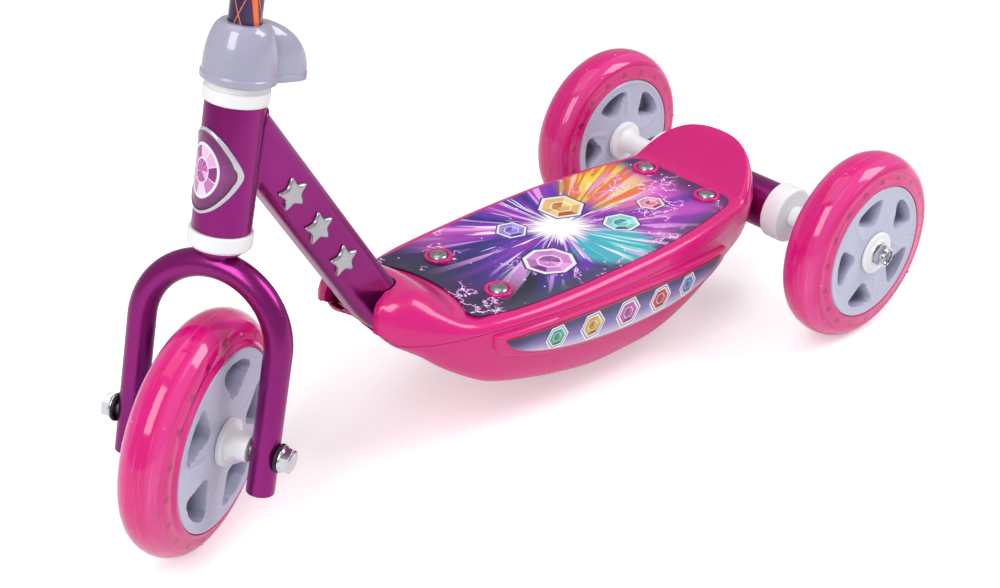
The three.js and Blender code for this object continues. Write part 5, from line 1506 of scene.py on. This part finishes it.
column = {"radius": 8.5, "wall": 1.6, "bottom": 150.0, "top": 525.0}
columnPrint = printFinish("columnPrint", "column_print", drawColumn, 0.26, 0.5)
columnEdges = sleeve(column["radius"] - column["wall"], column["radius"], column["bottom"], column["top"], 0.3, 0.4)
addLathe("handle_column_tube", columnEdges, steeringPlace, columnPrint, "steering", ["handle_column"])

# Lavender cap over the clamp: a round body with a bulge behind
cap = {
    "rim": 19.6, "rimHeight": 3.2, "top": 228.6, "wall": 1.8, "bulgeReach": 39.4, "bulgeHalf": 12.6,
    "bulgeHeight": 27.6, "bulgeFullness": 2.12, "edgeOut": 0.5, "hole": 8.8, "over": 4.0,
}
capShares = [(0.16, 0.954), (0.4, 0.946), (0.537, 0.92), (0.673, 0.878), (0.81, 0.811), (0.92, 0.73), (1, 0.61)]
clampBottom = ringTop + gap
capBottom = clampBottom + 0.6


def capProfile(wall, bottom):
    height, rim, rimTop = cap["top"] - clampBottom, cap["rim"] - wall, capBottom + cap["rimHeight"]
    side = [(cap["rim"] * out - wall, clampBottom + height * up - wall * up) for up, out in capShares]
    points = [(0, bottom), (rim, bottom, 0.4), (rim, rimTop - wall * 0.2, 0.7), (side[0][0] + 0.2, rimTop + 0.5, 0.5)]
    spots = [Vector(point) for point in side[1:]]
    fine = [spots[0]]
    for i in range(len(spots) - 1):
        a, b, c, d = (spots[min(max(i + step, 0), len(spots) - 1)] for step in (-1, 0, 1, 2))
        for t in (k / 6 for k in range(1, 7)):
            fine.append(b + (c - a) * (t / 2) + (2 * a - 5 * b + 4 * c - d) * (t * t / 2)
                        + (3 * b - a - 3 * c + d) * (t ** 3 / 2))
    return filleted(points + [tuple(spot) for spot in fine[:-1]] + [(*fine[-1], 1.2), (0, cap["top"] - wall)])


def bulgeMesh(grow, bottom, height, steps=22):
    reach, half, rise = cap["bulgeReach"] + grow, cap["bulgeHalf"] + grow, capBottom + cap["rimHeight"]
    power = 2 / cap["bulgeFullness"]

    def ringOf(scale, z):
        ring = []
        for turn in turnsOf(72, math.pi / 72):
            centre = (reach - half) * scale if math.cos(turn) > 0 else 0
            spot = (centre + half * scale * math.cos(turn), half * scale * math.sin(turn), z)
            ring.append(headPlace @ Vector(spot))
        return ring

    climbs = [quarter * k / steps for k in range(steps)]
    return ringMesh([ringOf(1, bottom)] + [
        ringOf(math.cos(climb) ** power, rise + height * math.sin(climb) ** power) for climb in climbs] + [
        ringOf(0.02, rise + height)])


def addCap():
    wall, height, under = cap["wall"], cap["bulgeHeight"], capBottom - cap["over"]
    cover = carved(
        latheMesh(capProfile(0, capBottom), headPlace, 128), ("UNION", bulgeMesh(0, capBottom, height)),
        ("UNION", bulgeMesh(cap["edgeOut"], capBottom, 1.0, 4)),
        ("DIFFERENCE", latheMesh(capProfile(wall, under), headPlace)),
        ("DIFFERENCE", bulgeMesh(-wall, under, height - wall)),
        ("DIFFERENCE", rodMesh(cap["hole"], capBottom, cap["top"] + cap["over"], headPlace)))
    addPiece("clamp_cover", cover, lavenderPlastic, "steering", ["clamp_cap"], sharp=32)


# Handlebar and its two grips
bar = {"radius": 9.5, "half": 137.0}
grip = {"length": 92.0, "radius": 13.2, "flange": 16.8, "end": 14.9, "lip": 4.0, "ribs": 14, "rib": 1.1, "sunk": 0.8}
barPlace = steeringPlace @ Matrix.Translation((0, 0, column["top"]))


def addBar():
    line = [barPlace @ Vector((0, bar["half"] * (k / 4 - 1), 0)) for k in range(9)]
    tube = grownMesh(pathCarrier(line), barTree, radius=bar["radius"] * mm, facets=72, material=purplePaint)
    addPiece("handlebar_tube", tube, purplePaint, "steering", ["handlebar"])


def addGrip(side, place):
    radius, flange, lip, sunk, bulge = (grip[size] for size in ("radius", "flange", "lip", "sunk", "end"))
    end, seat, bore = bar["half"] + lip, bar["half"] + gap, bar["radius"] + gap
    start = end - grip["length"]
    ribsStart, ribsEnd = start + lip, end - 2 * lip
    sleeveEdges = closed([
        (bore, start), (flange, start, 1.4), (flange, ribsStart, 1.4), (radius - sunk, ribsStart + sunk, 0.8),
        (radius - sunk, ribsEnd, 1.0), (bulge, end - lip, 1.5), (bulge, end - 0.8, 1.0), (radius, end, 0.6), (0, end),
        (0, seat), (bore, seat)])
    pitch = (ribsEnd - ribsStart) / grip["ribs"]
    line = [place @ Vector((0, 0, ribsStart + pitch * (0.75 + count))) for count in (0, grip["ribs"] - 1)]
    ribs = grownMesh(
        pathCarrier(line), ribTree, pitch=pitch * mm, radius=(radius - grip["rib"]) * mm, wire=grip["rib"] * mm,
        material=gripPink)
    joinPieces([addLathe("grip_sleeve_" + side, sleeveEdges, place, gripPink, "steering", ["grip_" + side]),
                addPiece("grip_ribs_" + side, ribs, gripPink, "steering")])


addCap()
addBar()
for side, way in (("near", 1), ("far", -1)):
    addGrip(side, barPlace @ Matrix.Rotation(way * quarter, 4, "X"))
print("steering made")

# Hidden clamp parts keep their CAD shape and take a zinc finish
for name in ("clamp_collar", "clamp_bolt", "clamp_nut"):
    holder = frame["nodes"][name].material_slots[0]
    holder.link = "OBJECT"
    holder.material = zincMetal


# Studio: white floor, soft sky, three window panels
glowShares = {"seen": 0.4, "mirrored": 0.05, "skySeen": 1.0, "sky": 0.44}


def floorFinish():
    finish = Finish("studioFloor", None, "F4F4F4", 0.6)
    seen = treeNode(finish.tree, "ShaderNodeLightPath").outputs
    mirrored = finish.math("MAXIMUM", seen["Is Glossy Ray"], seen["Is Transmission Ray"])
    level = finish.math("MULTIPLY", seen["Is Camera Ray"], glowShares["seen"]) + mirrored * glowShares["mirrored"]
    glow = treeNode(finish.tree, "ShaderNodeEmission", {"Color": (1, 1, 1, 1), "Strength": level})
    pick = treeNode(finish.tree, "ShaderNodeAddShader", {0: finish.shader, 1: glow})
    finish.paint(finish.mix(finish.smooth(finish.noise(8), 0.3, 0.7), "F6F6F6", "F3F3F3"))
    finish.tree.links.new(pick.outputs[0], finish.tree.nodes["Material Output"].inputs["Surface"])
    return finish.material


def addFloor(half=40.0):
    mesh = bpy.data.meshes.new("floor")
    mesh.from_pydata([(-half, -half, 0), (half, -half, 0), (half, half, 0), (-half, half, 0)], [], [(0, 1, 2, 3)])
    mesh.materials.append(floorFinish())
    floor = placed("floor", mesh)


def addSky():
    world = bpy.data.worlds.new("studio")
    bpy.context.scene.world = world
    world.use_nodes = True
    sky = world.node_tree.nodes["Background"]
    sky.inputs["Color"].default_value = (1, 1, 1, 1)
    seen = treeNode(world.node_tree, "ShaderNodeLightPath")
    level = treeNode(world.node_tree, "ShaderNodeMapRange", {
        "Value": seen.outputs["Is Camera Ray"], "From Min": 0.0, "From Max": 1.0, "To Min": glowShares["sky"],
        "To Max": glowShares["skySeen"]})
    world.node_tree.links.new(level.outputs[0], sky.inputs["Strength"])


def addPanel(name, place, target, size, power):
    lamp = bpy.data.lights.new(name, "AREA")
    lamp.shape, lamp.energy = "RECTANGLE", power
    lamp.size, lamp.size_y = size
    holder = placed(name, lamp)
    holder.location = place
    holder.rotation_euler = (Vector(target) - Vector(place)).to_track_quat("-Z", "Y").to_euler()


def addCamera():
    camera = bpy.data.cameras.new("camera")
    camera.lens, camera.sensor_width = view["lens"], view["sensor"]
    holder, back = placed("camera", camera), Vector(view["back"]).normalized()
    holder.location = (Vector(view["target"]) + back * view["distance"]) * mm
    holder.rotation_euler = back.to_track_quat("Z", "Y").to_euler()
    bpy.context.scene.camera = holder


addFloor()
addSky()
addPanel("keyPanel", (-1.35, -0.4, 1.45), (0, 0, 0.1), (0.8, 1.35), 20)
addPanel("sidePanel", (1.2, -0.9, 1.3), (0, 0, 0.15), (0.8, 1.1), 17)
addPanel("topPanel", (-0.1, 0.35, 1.9), (0, 0, 0.05), (1.3, 1.1), 5)
view = {
    "target": (7.3715, 0, 63.2839), "back": (-0.5859, -0.6210, 0.5206), "distance": 1096.4865, "lens": 64.207,
    "sensor": 36,
}
addCamera()
bpy.context.scene.view_settings.view_transform = "Standard"
print("stage set")
